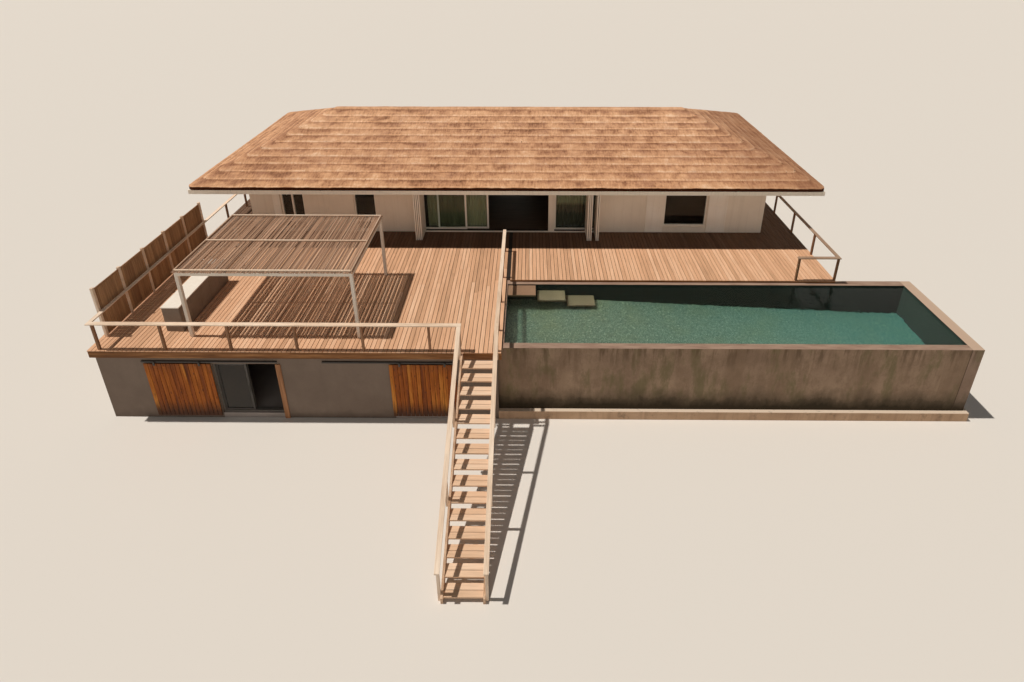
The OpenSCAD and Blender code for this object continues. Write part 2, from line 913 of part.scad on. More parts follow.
module pool_deck_slab() {
    color("silver")
        difference() {
            block(lower_right_x, deck_right_x - edge_t, pool_back_y, back_y, pool_slab_z, board_z);
            block(lower_right_x - 1, house_right_x, wall_y, back_y + 1,
                  pool_slab_z - 1, board_z + 1);
        }
}

module pool_deck_boards() {
    color("burlywood")
        difference() {
            block(deck_left_x, deck_right_x, deck_front_y, back_y, board_z, deck_level);
            block(deck_left_x - 1, house_right_x, wall_y, back_y + 1, board_z - 1, deck_level + 1);
        }
}

module pool_deck_edge() {
    y = deck_front_y + nosing;
    color("sienna") {
        block(deck_left_x, deck_right_x, y, y + edge_t, coping_z, board_z);
        block(deck_right_x - edge_t, deck_right_x, pool_back_y, back_y, pool_slab_z, board_z);
    }
}

module retaining_walls() {
    color("rosybrown") {
        difference() {
            block(house_right_x, deck_right_x, pool_back_y, back_y, 0, pool_slab_z);
            block(house_right_x - 1, deck_right_x - lower_wall_t,
                  pool_back_y - 1, back_y - lower_wall_t, -1, pool_slab_z + 1);
        }
        difference() {
            block(left_x, house_left_x, wall_y + lower_wall_t, back_y, 0, slab_z);
            block(left_x + lower_wall_t, house_left_x + 1,
                  wall_y, back_y - lower_wall_t, -1, slab_z + 1);
        }
    }
}

/* House */

front_in_y = wall_y + wall_t;
back_in_y = back_y - wall_t;
sill_z = deck_level + sill_h;
head_z = deck_level + window_head;
foot_z = deck_level + window_foot;

// Windows as left side, width, sill level and number of panes
front_windows = [
    [house_left_x + window_a_x, window_a_w, foot_z, 2],
    [house_left_x + window_b_x, window_narrow, foot_z, 1],
    [house_right_x - window_c_in - window_wide, window_wide, sill_z, 1]
];
// The back wall repeats the front's windows at even places, the wide one in the middle
back_middle = (back_window_n - 1) / 2;
back_windows = [
    for (i = [0 : back_window_n - 1])
        let (w = i == back_middle ? window_wide : window_narrow)
            [house_left_x + (i + 0.5) * house_w / back_window_n - w / 2, w, sill_z, 1]
];
side_window_y = wall_y + side_window_in;

module window_cut(w, y) {
    block(w[0], w[0] + w[1], y - 1, y + wall_t + 1, w[2], head_z);
}

module upper_floor() {
    color("tan")
        block(house_left_x + wall_t, house_right_x - wall_t, wall_y + lower_wall_t, back_in_y,
              deck_level - floor_t, deck_level);
}

module front_walls() {
    post_x = bay_left_x + bay_post_x;
    color("white") {
        difference() {
            block(house_left_x, bay_left_x, wall_y, front_in_y, deck_level, soffit_z);
            window_cut(front_windows[0], wall_y);
            window_cut(front_windows[1], wall_y);
        }
        difference() {
            block(bay_right_x, house_right_x, wall_y, front_in_y, deck_level, soffit_z);
            window_cut(front_windows[2], wall_y);
        }
        block(post_x, post_x + bay_post_w, wall_y, front_in_y - 10, deck_level,
              deck_level + bay_h);
    }
}

module bay_lintel() {
    color("white")
        block(bay_left_x, bay_right_x, wall_y, wall_y + lintel_d, deck_level + bay_h, soffit_z);
}

module side_walls() {
    color("white")
        for (x = [house_left_x, house_right_x - wall_t])
            difference() {
                block(x, x + wall_t, wall_y + lower_wall_t, back_in_y, 0, soffit_z);
                block(x - 1, x + wall_t + 1, side_window_y, side_window_y + window_narrow,
                      sill_z, head_z);
            }
}

module back_wall() {
    color("white")
        difference() {
            block(house_left_x, house_right_x, back_in_y, back_y, 0, soffit_z);
            for (w = back_windows)
                window_cut(w, back_in_y);
        }
}

function pane_w(w) = (w[1] - 2 * sash_w - (w[3] - 1) * mullion_w) / w[3];
function pane_x(w, i) = w[0] + sash_w + i * (pane_w(w) + mullion_w);

module sash(w, y) {
    difference() {
        block(w[0], w[0] + w[1], y, y + sash_d, w[2], head_z);
        for (i = [0 : w[3] - 1])
            block(pane_x(w, i), pane_x(w, i) + pane_w(w), y - 1, y + sash_d + 1,
                  w[2] + sash_w, head_z - sash_w);
    }
}

module pane(w, y) {
    mid_y = y + (sash_d - glass_t) / 2;
    for (i = [0 : w[3] - 1])
        block(pane_x(w, i), pane_x(w, i) + pane_w(w), mid_y, mid_y + glass_t,
              w[2] + sash_w, head_z - sash_w);
}

front_sash_y = wall_y + sash_back;
back_sash_y = back_y - sash_back - sash_d;

module window_frames() {
    color("white") {
        for (w = front_windows)
            sash(w, front_sash_y);
        for (w = back_windows)
            sash(w, back_sash_y);
        for (x = [house_left_x + sash_back, house_right_x - sash_back - sash_d])
            difference() {
                block(x, x + sash_d, side_window_y, side_window_y + window_narrow, sill_z, head_z);
                block(x - 1, x + sash_d + 1, side_window_y + sash_w,
                      side_window_y + window_narrow - sash_w, sill_z + sash_w, head_z - sash_w);
            }
    }
}

module window_glass() {
    color("lightblue", 0.4) {
        for (w = front_windows)
            pane(w, front_sash_y);
        for (w = back_windows)
            pane(w, back_sash_y);
        for (x = [house_left_x + sash_back, house_right_x - sash_back - sash_d]) {
            mid_x = x + (sash_d - glass_t) / 2;
            block(mid_x, mid_x + glass_t, side_window_y + sash_w,
                  side_window_y + window_narrow - sash_w, sill_z + sash_w, head_z - sash_w);
        }
    }
}

// Sliding glazing in the bay: two leaves on the left and one on the right of the post
outer_glide_y = front_in_y;
inner_glide_y = outer_glide_y + glide_t + 10;
glides = [
    [bay_left_x, outer_glide_y],
    [bay_left_x + glide_second_x, inner_glide_y],
    [bay_right_x - glide_w + glide_short, outer_glide_y]
];
glide_widths = [glide_w, glide_w, glide_w - glide_short];

module sliding_frames() {
    color("white")
        for (i = [0 : 2])
            frame(glides[i][0], glides[i][0] + glide_widths[i],
                  glides[i][1], glides[i][1] + glide_t,
                  deck_level, deck_level + bay_h, glide_frame);
}

module sliding_glass() {
    color("lightblue", 0.4)
        for (i = [0 : 2]) {
            mid_y = glides[i][1] + (glide_t - glass_t) / 2;
            block(glides[i][0] + glide_frame, glides[i][0] + glide_widths[i] - glide_frame,
                  mid_y, mid_y + glass_t,
                  deck_level + glide_frame, deck_level + bay_h - glide_frame);
        }
}

module folded_shutters() {
    back = front_in_y - 20;
    right = bay_right_x - fold_right_in - fold_t;
    others = right - fold_pitch - fold_apart - fold_t;
    places = [
        for (i = [0 : fold_n - 1]) bay_left_x + fold_in + i * fold_pitch,
        for (i = [0 : 1]) right - i * fold_pitch,
        for (i = [0 : 2]) others - i * fold_pitch
    ];
    color("white")
        for (x = places)
            block(x, x + fold_t, back - fold_d, back, deck_level, deck_level + bay_h);
}

module curtains() {
    y = wall_y + lintel_d + 30;
    z = deck_level + 15;
    left = bay_left_x + curtain_left_x;
    right = bay_right_x - curtain_right_in;
    color("beige") {
        block(left, left + curtain_left_w, y, y + curtain_t, z, soffit_z);
        block(right - curtain_right_w, right, y, y + curtain_t, z, soffit_z);
    }
}

/* Roof */

module soffit() {
    inset = thatch_out + eave_board_t;
    color("white")
        block(eave_left_x + inset, eave_right_x - inset, eave_front_y + inset, eave_back_y - inset,
              soffit_z, thatch_z);
}

module eave_boards() {
    inset = thatch_out + eave_board_t;
    color("white")
        difference() {
            block(eave_left_x + thatch_out, eave_right_x - thatch_out,
                  eave_front_y + thatch_out, eave_back_y - thatch_out, soffit_z, thatch_z);
            block(eave_left_x + inset, eave_right_x - inset,
                  eave_front_y + inset, eave_back_y - inset, soffit_z - 1, thatch_z + 1);
        }
}

// One side of the roof's profile: each course starts with a step and then rises
// less steeply than the roof, so that it ends on the roof line
function course_points() = [
    for (i = [0 : course_n - 1])
        for (p = [
            [i * course_w, thatch_edge + i * course_w * tan(roof_pitch)],
            [(i + 1) * course_w,
             thatch_edge - course_step + (i + 1) * course_w * tan(roof_pitch)]
        ]) p
];

// The whole profile over a span, with both sides alike
module roof_profile(span) {
    side = course_points();
    count = len(side);
    polygon(concat(
        [[thatch_cut, 0]],
        side,
        [for (i = [count - 1 : -1 : 0]) [span - side[i][0], side[i][1]]],
        [[span - thatch_cut, 0]]
    ));
}

module thatch_roof() {
    span_x = eave_right_x - eave_left_x;
    span_y = eave_back_y - eave_front_y;
    color("tan")
        translate([eave_left_x, eave_front_y, thatch_z])
            intersection() {
                translate([0, span_y, 0])
                    rotate([90, 0, 0])
                        linear_extrude(height = span_y)
                            roof_profile(span_x);
                rotate([90, 0, 90])
                    linear_extrude(height = span_x)
                        roof_profile(span_y);
            }
}

// A low rounded ridge on the flat bed
module ridge_cap() {
    radius = (pow(ridge_bed / 2, 2) + pow(ridge_rise, 2)) / (2 * ridge_rise);
    length = eave_right_x - eave_left_x - 2 * hip_run;
    color("tan")
        translate([eave_left_x + hip_run, (wall_y + back_y) / 2, thatch_z + roof_top])
            rotate([90, 0, 90])
                linear_extrude(height = length)
                    intersection() {
                        translate([0, ridge_rise - radius])
                            circle(r = radius, $fn = 180);
                        translate([-ridge_bed / 2, 0])
                            square([ridge_bed, ridge_rise]);
                    }
}

lower_front_walls();
lower_lintels();
lower_side_walls();
lower_back_wall();
lower_floor();
garden_door_frames();
garden_fixed_glass();
garden_door_leaf();
garden_door_glass();
door_jamb();
left_shutter();
right_shutter();
shutter_rails();
terrace_slab();
terrace_boards();
terrace_edge_boards();
railing_posts();
railing_rails();
screen_posts();
screen_panels();
pergola_posts();
pergola_beams();
pergola_canopy();
pergola_batten();
kitchen_counter();
kitchen_worktop();
stair_strings();
stair_treads();
stair_posts();
stair_handrails();
pool_front_wall();
pool_back_wall();
pool_side_walls();
pool_floor();
pool_footing();
pool_steps();
pool_deck_slab();
pool_deck_boards();
pool_deck_edge();
retaining_walls();
upper_floor();
front_walls();
bay_lintel();
side_walls();
back_wall();
window_frames();
window_glass();
sliding_frames();
sliding_glass();
folded_shutters();
curtains();
soffit();
eave_boards();
thatch_roof();
ridge_cap();
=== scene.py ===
# %% [markdown]
# # A beach house over a lower storey
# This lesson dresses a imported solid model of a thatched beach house: its boards, thatch,
# poles, cloth, plaster, concrete and water. The solids carry the sizes, and every
# piece made here takes its place from them, so nothing has to be fitted by eye.

# %% Load the solid model
import math
import random

import bpy
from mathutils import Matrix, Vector, noise


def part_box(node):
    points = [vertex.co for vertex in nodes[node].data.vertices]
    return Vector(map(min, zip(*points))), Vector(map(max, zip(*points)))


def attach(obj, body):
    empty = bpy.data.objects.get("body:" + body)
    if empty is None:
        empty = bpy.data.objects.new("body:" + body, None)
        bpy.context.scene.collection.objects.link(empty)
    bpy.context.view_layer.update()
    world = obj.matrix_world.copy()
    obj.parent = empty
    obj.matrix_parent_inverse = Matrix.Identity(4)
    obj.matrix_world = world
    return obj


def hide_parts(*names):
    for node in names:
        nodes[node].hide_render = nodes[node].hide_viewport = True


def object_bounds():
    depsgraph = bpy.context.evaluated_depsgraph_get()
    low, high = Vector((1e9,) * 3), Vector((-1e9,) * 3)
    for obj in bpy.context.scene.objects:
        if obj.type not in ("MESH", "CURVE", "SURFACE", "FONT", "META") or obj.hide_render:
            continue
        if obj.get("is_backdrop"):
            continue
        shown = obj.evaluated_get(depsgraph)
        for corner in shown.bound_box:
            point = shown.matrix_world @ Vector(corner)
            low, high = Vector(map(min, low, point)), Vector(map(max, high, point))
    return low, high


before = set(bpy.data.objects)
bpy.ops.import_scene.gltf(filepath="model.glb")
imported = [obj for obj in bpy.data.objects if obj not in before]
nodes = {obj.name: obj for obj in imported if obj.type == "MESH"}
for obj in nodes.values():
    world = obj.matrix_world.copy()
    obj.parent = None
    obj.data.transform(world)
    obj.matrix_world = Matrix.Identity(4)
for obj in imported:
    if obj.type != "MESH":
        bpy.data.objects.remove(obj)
solid_low, solid_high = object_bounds()
print("solids:", len(nodes), "from", tuple(solid_low), "to", tuple(solid_high))

# %% [markdown]
# ## Camera
# The house is seen from in front and above, over the stair. A real architect's
# camera would stay level and shift its lens, so that all upright lines stay upright.
# A large shift would spoil every other view, so this camera shifts a little and tilts
# the rest of the way down. Its place was found by matching about fifty corners.


# %% Set up the camera
def add(name, data):
    """Puts a camera, a lamp or a mesh in the scene as an object of its own."""
    made = bpy.data.objects.new(name, data)
    bpy.context.scene.collection.objects.link(made)
    return made


LOOKS_DOWN, TURNED = 19.257, 0.367
camera_data = bpy.data.cameras.new("front_camera")
camera_data.sensor_width = 36.0
camera_data.lens = 18.022
camera_data.shift_x = -0.0143
camera_data.shift_y = -0.22
camera_data.clip_end = 3000.0
camera = add("front_camera", camera_data)
camera.location = (-0.3312, -17.5473, 15.0675)
camera.rotation_euler = (math.radians(90 - LOOKS_DOWN), 0.0, math.radians(TURNED))
bpy.context.scene.camera = camera
print("camera at", tuple(round(c, 2) for c in camera.location))

# %% [markdown]
# ## A short way to write finishes
# A finish in Blender is a graph of nodes. Long lists of nodes and links are hard to
# read, so this class gives each kind of node a short call that takes plain numbers or
# other nodes' outputs, and makes the links itself.


# %% Define the finish builder
class Graph:
    """A graph of shader nodes, and short calls that add to it."""

    def __init__(self, owner):
        owner.use_nodes = True
        self.tree = owner.node_tree
        self.tree.nodes.clear()

    def node(self, kind, inputs=(), **settings):
        """A new node with its settings, and what is fed into its inputs."""
        made = self.tree.nodes.new(kind)
        for name, value in settings.items():
            setattr(made, name, value)
        for key, value in dict(inputs).items():
            self.feed(made.inputs[key], value)
        return made

    def feed(self, socket, value):
        """Puts a number, a colour or another node's output into a socket."""
        if isinstance(value, bpy.types.NodeSocket):
            self.tree.links.new(value, socket)
        elif isinstance(value, tuple) and len(value) == 3 and socket.type == "RGBA":
            socket.default_value = (*value, 1.0)
        else:
            socket.default_value = value

    def math(self, operation, a, b=0.0):
        return self.node("ShaderNodeMath", {0: a, 1: b}, operation=operation).outputs[0]


class Finish(Graph):
    """A material with a Principled shader, and short calls for its nodes."""

    def __init__(self, name, roughness=0.8, **constants):
        self.material = bpy.data.materials.new(name)
        super().__init__(self.material)
        self.shader = self.node("ShaderNodeBsdfPrincipled")
        self.out = self.node("ShaderNodeOutputMaterial")
        self.feed(self.out.inputs["Surface"], self.shader.outputs[0])
        self.shader.inputs["Roughness"].default_value = roughness
        for socket, value in constants.items():
            self.shader.inputs[socket.replace("_", " ")].default_value = value
        self.place = self.node("ShaderNodeTexCoord").outputs["Object"]
        self.coat = None

    def set(self, name, value):
        self.feed(self.shader.inputs[name], value)
        return self

    def plus(self, a, b):
        return self.math("ADD", a, b)

    def by(self, a, b):
        return self.math("MULTIPLY", a, b)

    def mix(self, share, a, b, **settings):
        """Colour a where share is 0 and colour b where it is 1."""
        inputs = {"Factor": share, "A": a, "B": b}
        return self.node("ShaderNodeMix", inputs, data_type="RGBA", **settings).outputs["Result"]

    def paint(self, colour, share=1.0):
        """Lays a colour over what is there, as far as share says."""
        self.coat = colour if self.coat is None else self.mix(share, self.coat, colour)
        return self.set("Base Color", self.coat)

    def stain(self, colour, value, low, high, most=1.0):
        """Lays a colour where a value has come from low to high."""
        return self.paint(colour, self.span(value, low, high, 0.0, most))

    def shade(self, factor):
        """Multiplies the colours laid so far by a colour."""
        self.coat = self.mix(1.0, self.coat, factor, blend_type="MULTIPLY")
        return self.set("Base Color", self.coat)

    def tint(self, share, factor):
        """Shades the coat as far as share says."""
        return self.shade(self.mix(share, (1.0, 1.0, 1.0), factor))

    def stretched(self, x, y, z, move=0.0):
        """The object's own coordinates times x, y and z, moved by a number."""
        if not isinstance(move, bpy.types.NodeSocket):
            move = (move, move, move)
        inputs = {0: self.place, 1: (x, y, z), 2: move}
        return self.node("ShaderNodeVectorMath", inputs, operation="MULTIPLY_ADD").outputs[0]

    def noise(self, vector, scale=1.0, detail=3.0, rough=0.5, warp=0.0):
        inputs = {"Vector": vector, "Scale": scale, "Detail": detail}
        inputs.update({"Roughness": rough, "Distortion": warp})
        return self.node("ShaderNodeTexNoise", inputs).outputs["Fac"]

    def grain(self, x, y, z, detail=3.0, rough=0.5, move=0.0, warp=0.0):
        """Noise that is drawn out along the axis with the smallest number."""
        return self.noise(self.stretched(x, y, z, move), 1.0, detail, rough, warp)

    def span(self, value, low, high, to_low=0.0, to_high=1.0):
        """Maps a range of values on another, and holds it at the ends."""
        inputs = {"Value": value, "From Min": low, "From Max": high}
        inputs.update({"To Min": to_low, "To Max": to_high})
        return self.node("ShaderNodeMapRange", inputs).outputs[0]

    def past(self, letter, low, high, to_low=0.0, to_high=1.0):
        """How far a point's own X, Y or Z has come from low to high."""
        return self.span(self.axis(letter), low, high, to_low, to_high)

    def ramp(self, value, *stops):
        """A colour for each value, from stops of (place, colour or grey)."""
        made = self.node("ShaderNodeValToRGB", {0: value})
        bar = made.color_ramp.elements
        while len(bar) < len(stops):
            bar.new(0.5)
        for element, (place, colour) in zip(bar, stops):
            element.position = place
            element.color = (*(colour if isinstance(colour, tuple) else (colour,) * 3), 1.0)
        return made.outputs[0]

    def bump(self, height, depth, strength=1.0):
        inputs = {"Strength": strength, "Distance": depth, "Height": height}
        return self.set("Normal", self.node("ShaderNodeBump", inputs).outputs[0])

    def axis(self, letter, vector=None):
        return self.node("ShaderNodeSeparateXYZ", {0: vector or self.place}).outputs[letter]

    def face(self, letter):
        """One part of the surface's own direction, such as Z for faces that look up."""
        return self.axis(letter, self.node("ShaderNodeNewGeometry").outputs["True Normal"])

    def looks_up(self):
        return self.span(self.face("Z"), 0.5, 0.8)

    def tone(self):
        """The number from 0 to 1 that each board, pole or straw carries; on the thatch it also
        carries painted highlight and painted shade.
        """
        return self.node("ShaderNodeAttribute", attribute_name="tone").outputs["Fac"]


print("finish builder ready")

# %% [markdown]
# ## Light, floor and sky
# A high lamp on the left makes short shadows to the right, as on the real house,
# where the sun stands in the plane of the front. A pale sky fills the shadows, and a
# broad weak lamp low in front stands for the light that pale sand throws on the walls.
# The floor and the background stay plain and pale, so that nothing competes with the
# house. What the camera sees of the sky is set apart from the light it gives, so that
# the background can be pale while the fill stays low.


# %% Make the lamp, the sky and the floor
def add_lamp(name, energy, width, turn):
    data = bpy.data.lights.new(name, "SUN")
    data.energy = energy
    data.angle = math.radians(width)
    data.color = (1.0, 0.94, 0.86)
    made = add(name, data)
    made.rotation_euler = [math.radians(angle) for angle in turn]
    return made


high_lamp = add_lamp("high_lamp", 2.9, 0.9, (0, -22, 0))
front_lamp = add_lamp("broad_front_lamp", 0.38, 70, (70, 0, 0))
front_lamp.visible_glossy = False

world = bpy.data.worlds.new("pale_sky")
bpy.context.scene.world = world
sky = Graph(world)
path = sky.node("ShaderNodeLightPath").outputs
seen = path["Is Camera Ray"]
for ray in ("Is Glossy Ray", "Is Transmission Ray"):
    seen = sky.math("MAXIMUM", seen, path[ray])
fill = sky.node("ShaderNodeBackground", {"Color": (0.93, 0.96, 1.0), "Strength": 0.09})
backdrop = sky.node("ShaderNodeBackground", {"Color": (0.79, 0.71, 0.62), "Strength": 1.0})
inputs = {0: seen, 1: fill.outputs[0], 2: backdrop.outputs[0]}
both = sky.node("ShaderNodeMixShader", inputs)
sky.node("ShaderNodeOutputWorld", {"Surface": both.outputs[0]})

FLOOR_HALF, FLOOR_Z = 1200.0, -0.001
floor_mesh = bpy.data.meshes.new("pale_floor")
signs = ((-1, -1), (1, -1), (1, 1), (-1, 1))
corners = [(x * FLOOR_HALF, y * FLOOR_HALF, FLOOR_Z) for x, y in signs]
floor_mesh.from_pydata(corners, [], [(0, 1, 2, 3)])
pale_floor = add("pale_floor", floor_mesh)
pale_floor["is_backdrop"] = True
plain = Finish("plain_pale_floor", 0.95)
plain.paint((0.76, 0.72, 0.67))
floor_mesh.materials.append(plain.material)
bpy.context.scene.view_settings.view_transform = "Standard"
print("lamp", high_lamp.data.energy, "fill", fill.inputs["Strength"].default_value)

# %% [markdown]
# ## A stack of small solids
# Decks, shutters, screens and canopies are rows of boards or poles. Each is a closed
# solid of its own, as the real timber is, so that the gaps between them are real and
# throw real shadows. The stack keeps them in one mesh, and gives each a tone from 0 to
# 1. The finishes read that number, so two boards side by side never match.


# %% Define the stack
class Stack:
    """Closed solids in one mesh, each with its own tone."""

    def __init__(self, seed):
        self.points, self.faces, self.tones = [], [], []
        self.dice = random.Random(seed)
        self.any = self.dice.uniform

    def loft(self, rings, tone=None):
        """A closed solid through rings of points that run anticlockwise about its way."""
        if tone is None:
            tone = self.dice.random()
        start, count = len(self.points), len(rings[0])
        for ring in rings:
            self.points.extend(ring)
        last = start + (len(rings) - 1) * count
        made = [tuple(range(start + count - 1, start - 1, -1)), tuple(range(last, last + count))]
        for row in range(start, last, count):
            for i in range(count):
                j = (i + 1) % count
                made.append((row + i, row + j, row + count + j, row + count + i))
        self.faces += made
        self.tones += [tone] * len(made)

    def block(self, low, high, tone=None):
        (x0, y0, z0), (x1, y1, z1) = low, high
        rings = [[(x0, y0, z), (x1, y0, z), (x1, y1, z), (x0, y1, z)] for z in (z0, z1)]
        self.loft(rings, tone)

    def tube(self, path, radius, sides=10, tone=None):
        """A round bar along a path, with a radius that may change from point to point."""
        path = [Vector(p) for p in path]
        rings = []
        for i, point in enumerate(path):
            way = (path[min(i + 1, len(path) - 1)] - path[max(i - 1, 0)]).normalized()
            side = way.cross(Vector((0.02, 0.03, 1.0)))
            if side.length < 0.2:
                side = way.cross(Vector((1.0, 0.02, 0.03)))
            side.normalize()
            over = way.cross(side)
            wide = radius[i] if isinstance(radius, (list, tuple)) else radius
            turn = [2 * math.pi * k / sides for k in range(sides)]
            rings.append(
                [tuple(point + wide * (math.cos(a) * side + math.sin(a) * over)) for a in turn]
            )
        self.loft(rings, tone)

    def make(self, name, finish, slot, body="house", stands_for=(), edge=0.0, smooth=False):
        mesh = bpy.data.meshes.new(name)
        mesh.from_pydata(self.points, [], self.faces)
        mesh.attributes.new("tone", "FLOAT", "FACE").data.foreach_set("value", self.tones)
        mesh.polygons.foreach_set("use_smooth", [smooth] * len(self.faces))
        return place(name, mesh, finish, slot, body, stands_for, edge)


def place(name, mesh, finish, slot, body="house", stands_for=(), edge=0.0):
    """Puts a mesh in the scene as a piece that rides on a body."""
    mesh.materials.append(finish.material)
    piece = add(name, mesh)
    if edge:
        soften(piece, edge, 1)
    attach(piece, body)
    if stands_for:
        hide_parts(*stands_for)
    print(name, "has", len(mesh.polygons), "faces")
    return piece


def smooth_mesh(name, points, wide):
    """A smooth mesh through rows of points, with so many points in each row."""
    faces = []
    for row in range(0, len(points) - wide, wide):
        faces += [(a, a + 1, a + wide + 1, a + wide) for a in range(row, row + wide - 1)]
    mesh = bpy.data.meshes.new(name)
    mesh.from_pydata(points, [], faces)
    mesh.polygons.foreach_set("use_smooth", [True] * len(faces))
    return mesh


def soften(thing, width, segments=2):
    """Rounds the edges a little, because no real edge is a perfect line."""
    bevel = thing.modifiers.new("soft_edge", "BEVEL")
    bevel.width = width
    bevel.segments = segments
    bevel.limit_method = "ANGLE"
    bevel.angle_limit = math.radians(40)


def dress(finish, *names, edge=0.0):
    """Gives solids of the model a finish, and softens their edges."""
    for name in names:
        for slot in nodes[name].material_slots:
            slot.material = finish.material
        if edge:
            weld = nodes[name].modifiers.new("join_corners", "WELD")
            weld.merge_threshold = 0.0002
            soften(nodes[name], edge)


print("stack ready")

# %% [markdown]
# ## Timber
# Old timber is a base colour that differs from board to board, long stains, and fine
# fibres that run with the board. The noise is stretched along the board, and each
# board's tone moves it to a new place, so the grain never runs on into the next board.


# %% Make the timber finishes
PLACES = {
    2: (0.1, 0.9), 3: (0.1, 0.5, 0.9), 4: (0.05, 0.35, 0.65, 0.95),
    5: (0.05, 0.3, 0.5, 0.72, 0.95),
}
BOARD_SHIFT = 57.0


def timber(name, along, *colours, rough=0.72, grain=0.4, fibre=38.0, tone_share=0.62):
    """Boards along one or more axes, given as letters such as "Y", in dark to light colours."""
    finish = Finish(name, rough, Specular_IOR_Level=0.3)
    tone = finish.tone()
    shift = finish.by(tone, BOARD_SHIFT)
    fine = [1.6 if letter in along else fibre for letter in "XYZ"]
    fibres = finish.grain(*fine, 6.0, 0.62, shift)
    long = [0.55 if letter in along else 7.0 for letter in "XYZ"]
    stains = finish.grain(*long, 3.0, 0.55, shift)
    spread = finish.span(stains, 0.3, 0.7)
    level = finish.plus(finish.by(tone, tone_share), finish.by(spread, 1.0 - tone_share))
    finish.paint(finish.ramp(level, *zip(PLACES[len(colours)], colours)))
    finish.shade(finish.ramp(fibres, (0.3, 1.0 - grain), (0.52, 0.94), (0.75, 1.0)))
    finish.set("Roughness", finish.span(fibres, 0.3, 0.7, rough + 0.1, rough - 0.08))
    finish.bump(fibres, 0.0015)
    return finish


deck_timber = timber(
    "weathered_decking", "Y", (0.56, 0.325, 0.19), (0.7, 0.405, 0.24), (0.77, 0.45, 0.27),
    (0.83, 0.505, 0.315), (0.9, 0.59, 0.39), grain=0.26,
)
# Painted shade: the boards under the eave are painted dark, from the edge of the eave's shadow
# back
PAINTED_EAVE_SHADE = 0.56, 0.66
deck_timber.tint(deck_timber.past("Y", *PAINTED_EAVE_SHADE), (0.2, 0.185, 0.18))
tread_timber = timber(
    "stair_tread_timber", "X", (0.7, 0.465, 0.3), (0.82, 0.565, 0.385), (0.88, 0.66, 0.485),
    grain=0.2,
)
edge_timber = timber(
    "oiled_edge_timber", "XY", (0.15, 0.056, 0.015), (0.27, 0.112, 0.035), (0.42, 0.195, 0.072),
    grain=0.5, tone_share=0.0,
)
string_timber = timber(
    "stair_string_timber", "Y", (0.5, 0.3, 0.18), (0.78, 0.54, 0.37), grain=0.3, tone_share=0.0,
)
post_timber = timber(
    "dark_post_timber", "Z", (0.2, 0.1, 0.05), (0.38, 0.2, 0.11), grain=0.4, tone_share=0.0,
)
pale = timber(
    "sun_bleached_timber", "XYZ", (0.74, 0.55, 0.4), (0.86, 0.67, 0.51), (0.92, 0.76, 0.61),
    grain=0.0, tone_share=0.0,
)
jamb_timber = timber(
    "worn_jamb_timber", "Z", (0.3, 0.13, 0.055), (0.46, 0.22, 0.105), grain=0.4, tone_share=0.0,
)
# The front rail runs across the house, all other rails from front to back
rails_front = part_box("railing_rails")[0].y
in_front = pale.by(
    pale.past("Y", rails_front + 0.15, rails_front + 0.14),
    pale.past("Y", rails_front - 0.02, rails_front - 0.01),
)
along_y = pale.grain(34.0, 1.6, 2.4, 6.0, 0.62)
along_x = pale.grain(1.6, 34.0, 34.0, 6.0, 0.62)
rail_fibres = pale.mix(in_front, along_y, along_x)
pale.shade(pale.ramp(rail_fibres, (0.32, (0.8, 0.76, 0.72)), (0.52, 1.03), (0.7, 1.11)))
pale.bump(rail_fibres, 0.002)
# The rail at the far right is darker, and the side battens of the canopy are painted darker as
# painted shade
RIGHT_RAIL, CANOPY_MIDDLE, CANOPY_SIDE, CANOPY_Z = 8.0, -8.465, 2.68, 5.42
pale.tint(pale.past("X", RIGHT_RAIL, RIGHT_RAIL + 0.2), (0.44, 0.38, 0.34))
off_middle = pale.math("ABSOLUTE", pale.plus(pale.axis("X"), -CANOPY_MIDDLE))
outermost = pale.span(off_middle, CANOPY_SIDE, CANOPY_SIDE + 0.02)
canopy_side_painted_shade = pale.by(outermost, pale.past("Z", CANOPY_Z, CANOPY_Z + 0.02))
pale.tint(canopy_side_painted_shade, (0.6, 0.52, 0.47))
screen_timber = timber(
    "screen_board_timber", "Z", (0.3, 0.165, 0.085), (0.54, 0.32, 0.17), grain=0.4,
)
reed_poles = timber(
    "grey_canopy_poles", "Y", (0.2, 0.115, 0.07), (0.42, 0.25, 0.16), (0.54, 0.33, 0.215),
    (0.8, 0.54, 0.38), grain=0.35, tone_share=0.8,
)
print("timber finishes:", sum("timber" in m.name for m in bpy.data.materials))

# %% [markdown]
# ## Decks
# The boards run from the front to the back, about 0.14 m apart. They are cut from
# random lengths and butt on a joist. On the left the terrace goes on past the house as
# a narrow side deck, so that part is laid on its own. A board's height and width vary by a
# millimetre or two, as weathered timber does.


# %% Lay the decks
def lay_boards(stack, x0, x1, y0, y1, z0, z1, pitch=0.142, gap=0.015):
    count = round((x1 - x0) / pitch)
    pitch = (x1 - x0) / count
    for i in range(count):
        left = x0 + i * pitch + gap / 2 + stack.any(-0.0012, 0.0012)
        right = x0 + (i + 1) * pitch - gap / 2 + stack.any(-0.0012, 0.0012)
        left, right = max(left, x0), min(right, x1)
        start = y0
        while start < y1 - 0.01:
            end = start + stack.any(2.4, 4.8)
            if y1 - end < 1.2:
                end = y1
            top = z1 - stack.any(0.0, 0.002)
            stack.block((left, start, z0), (right, end - 0.003, top))
            start = end


wall_low, wall_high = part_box("front_walls")
terrace_low, terrace_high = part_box("terrace_boards")
front_face = wall_low.y
stack = Stack(11)
low, high = terrace_low, terrace_high
lay_boards(stack, low.x, wall_low.x, low.y, high.y, low.z, high.z)
lay_boards(stack, wall_low.x, high.x, low.y, front_face, low.z, high.z)
stack.make(
    "terrace_decking", deck_timber, "deck_timber", stands_for=["terrace_boards"], edge=0.003
)

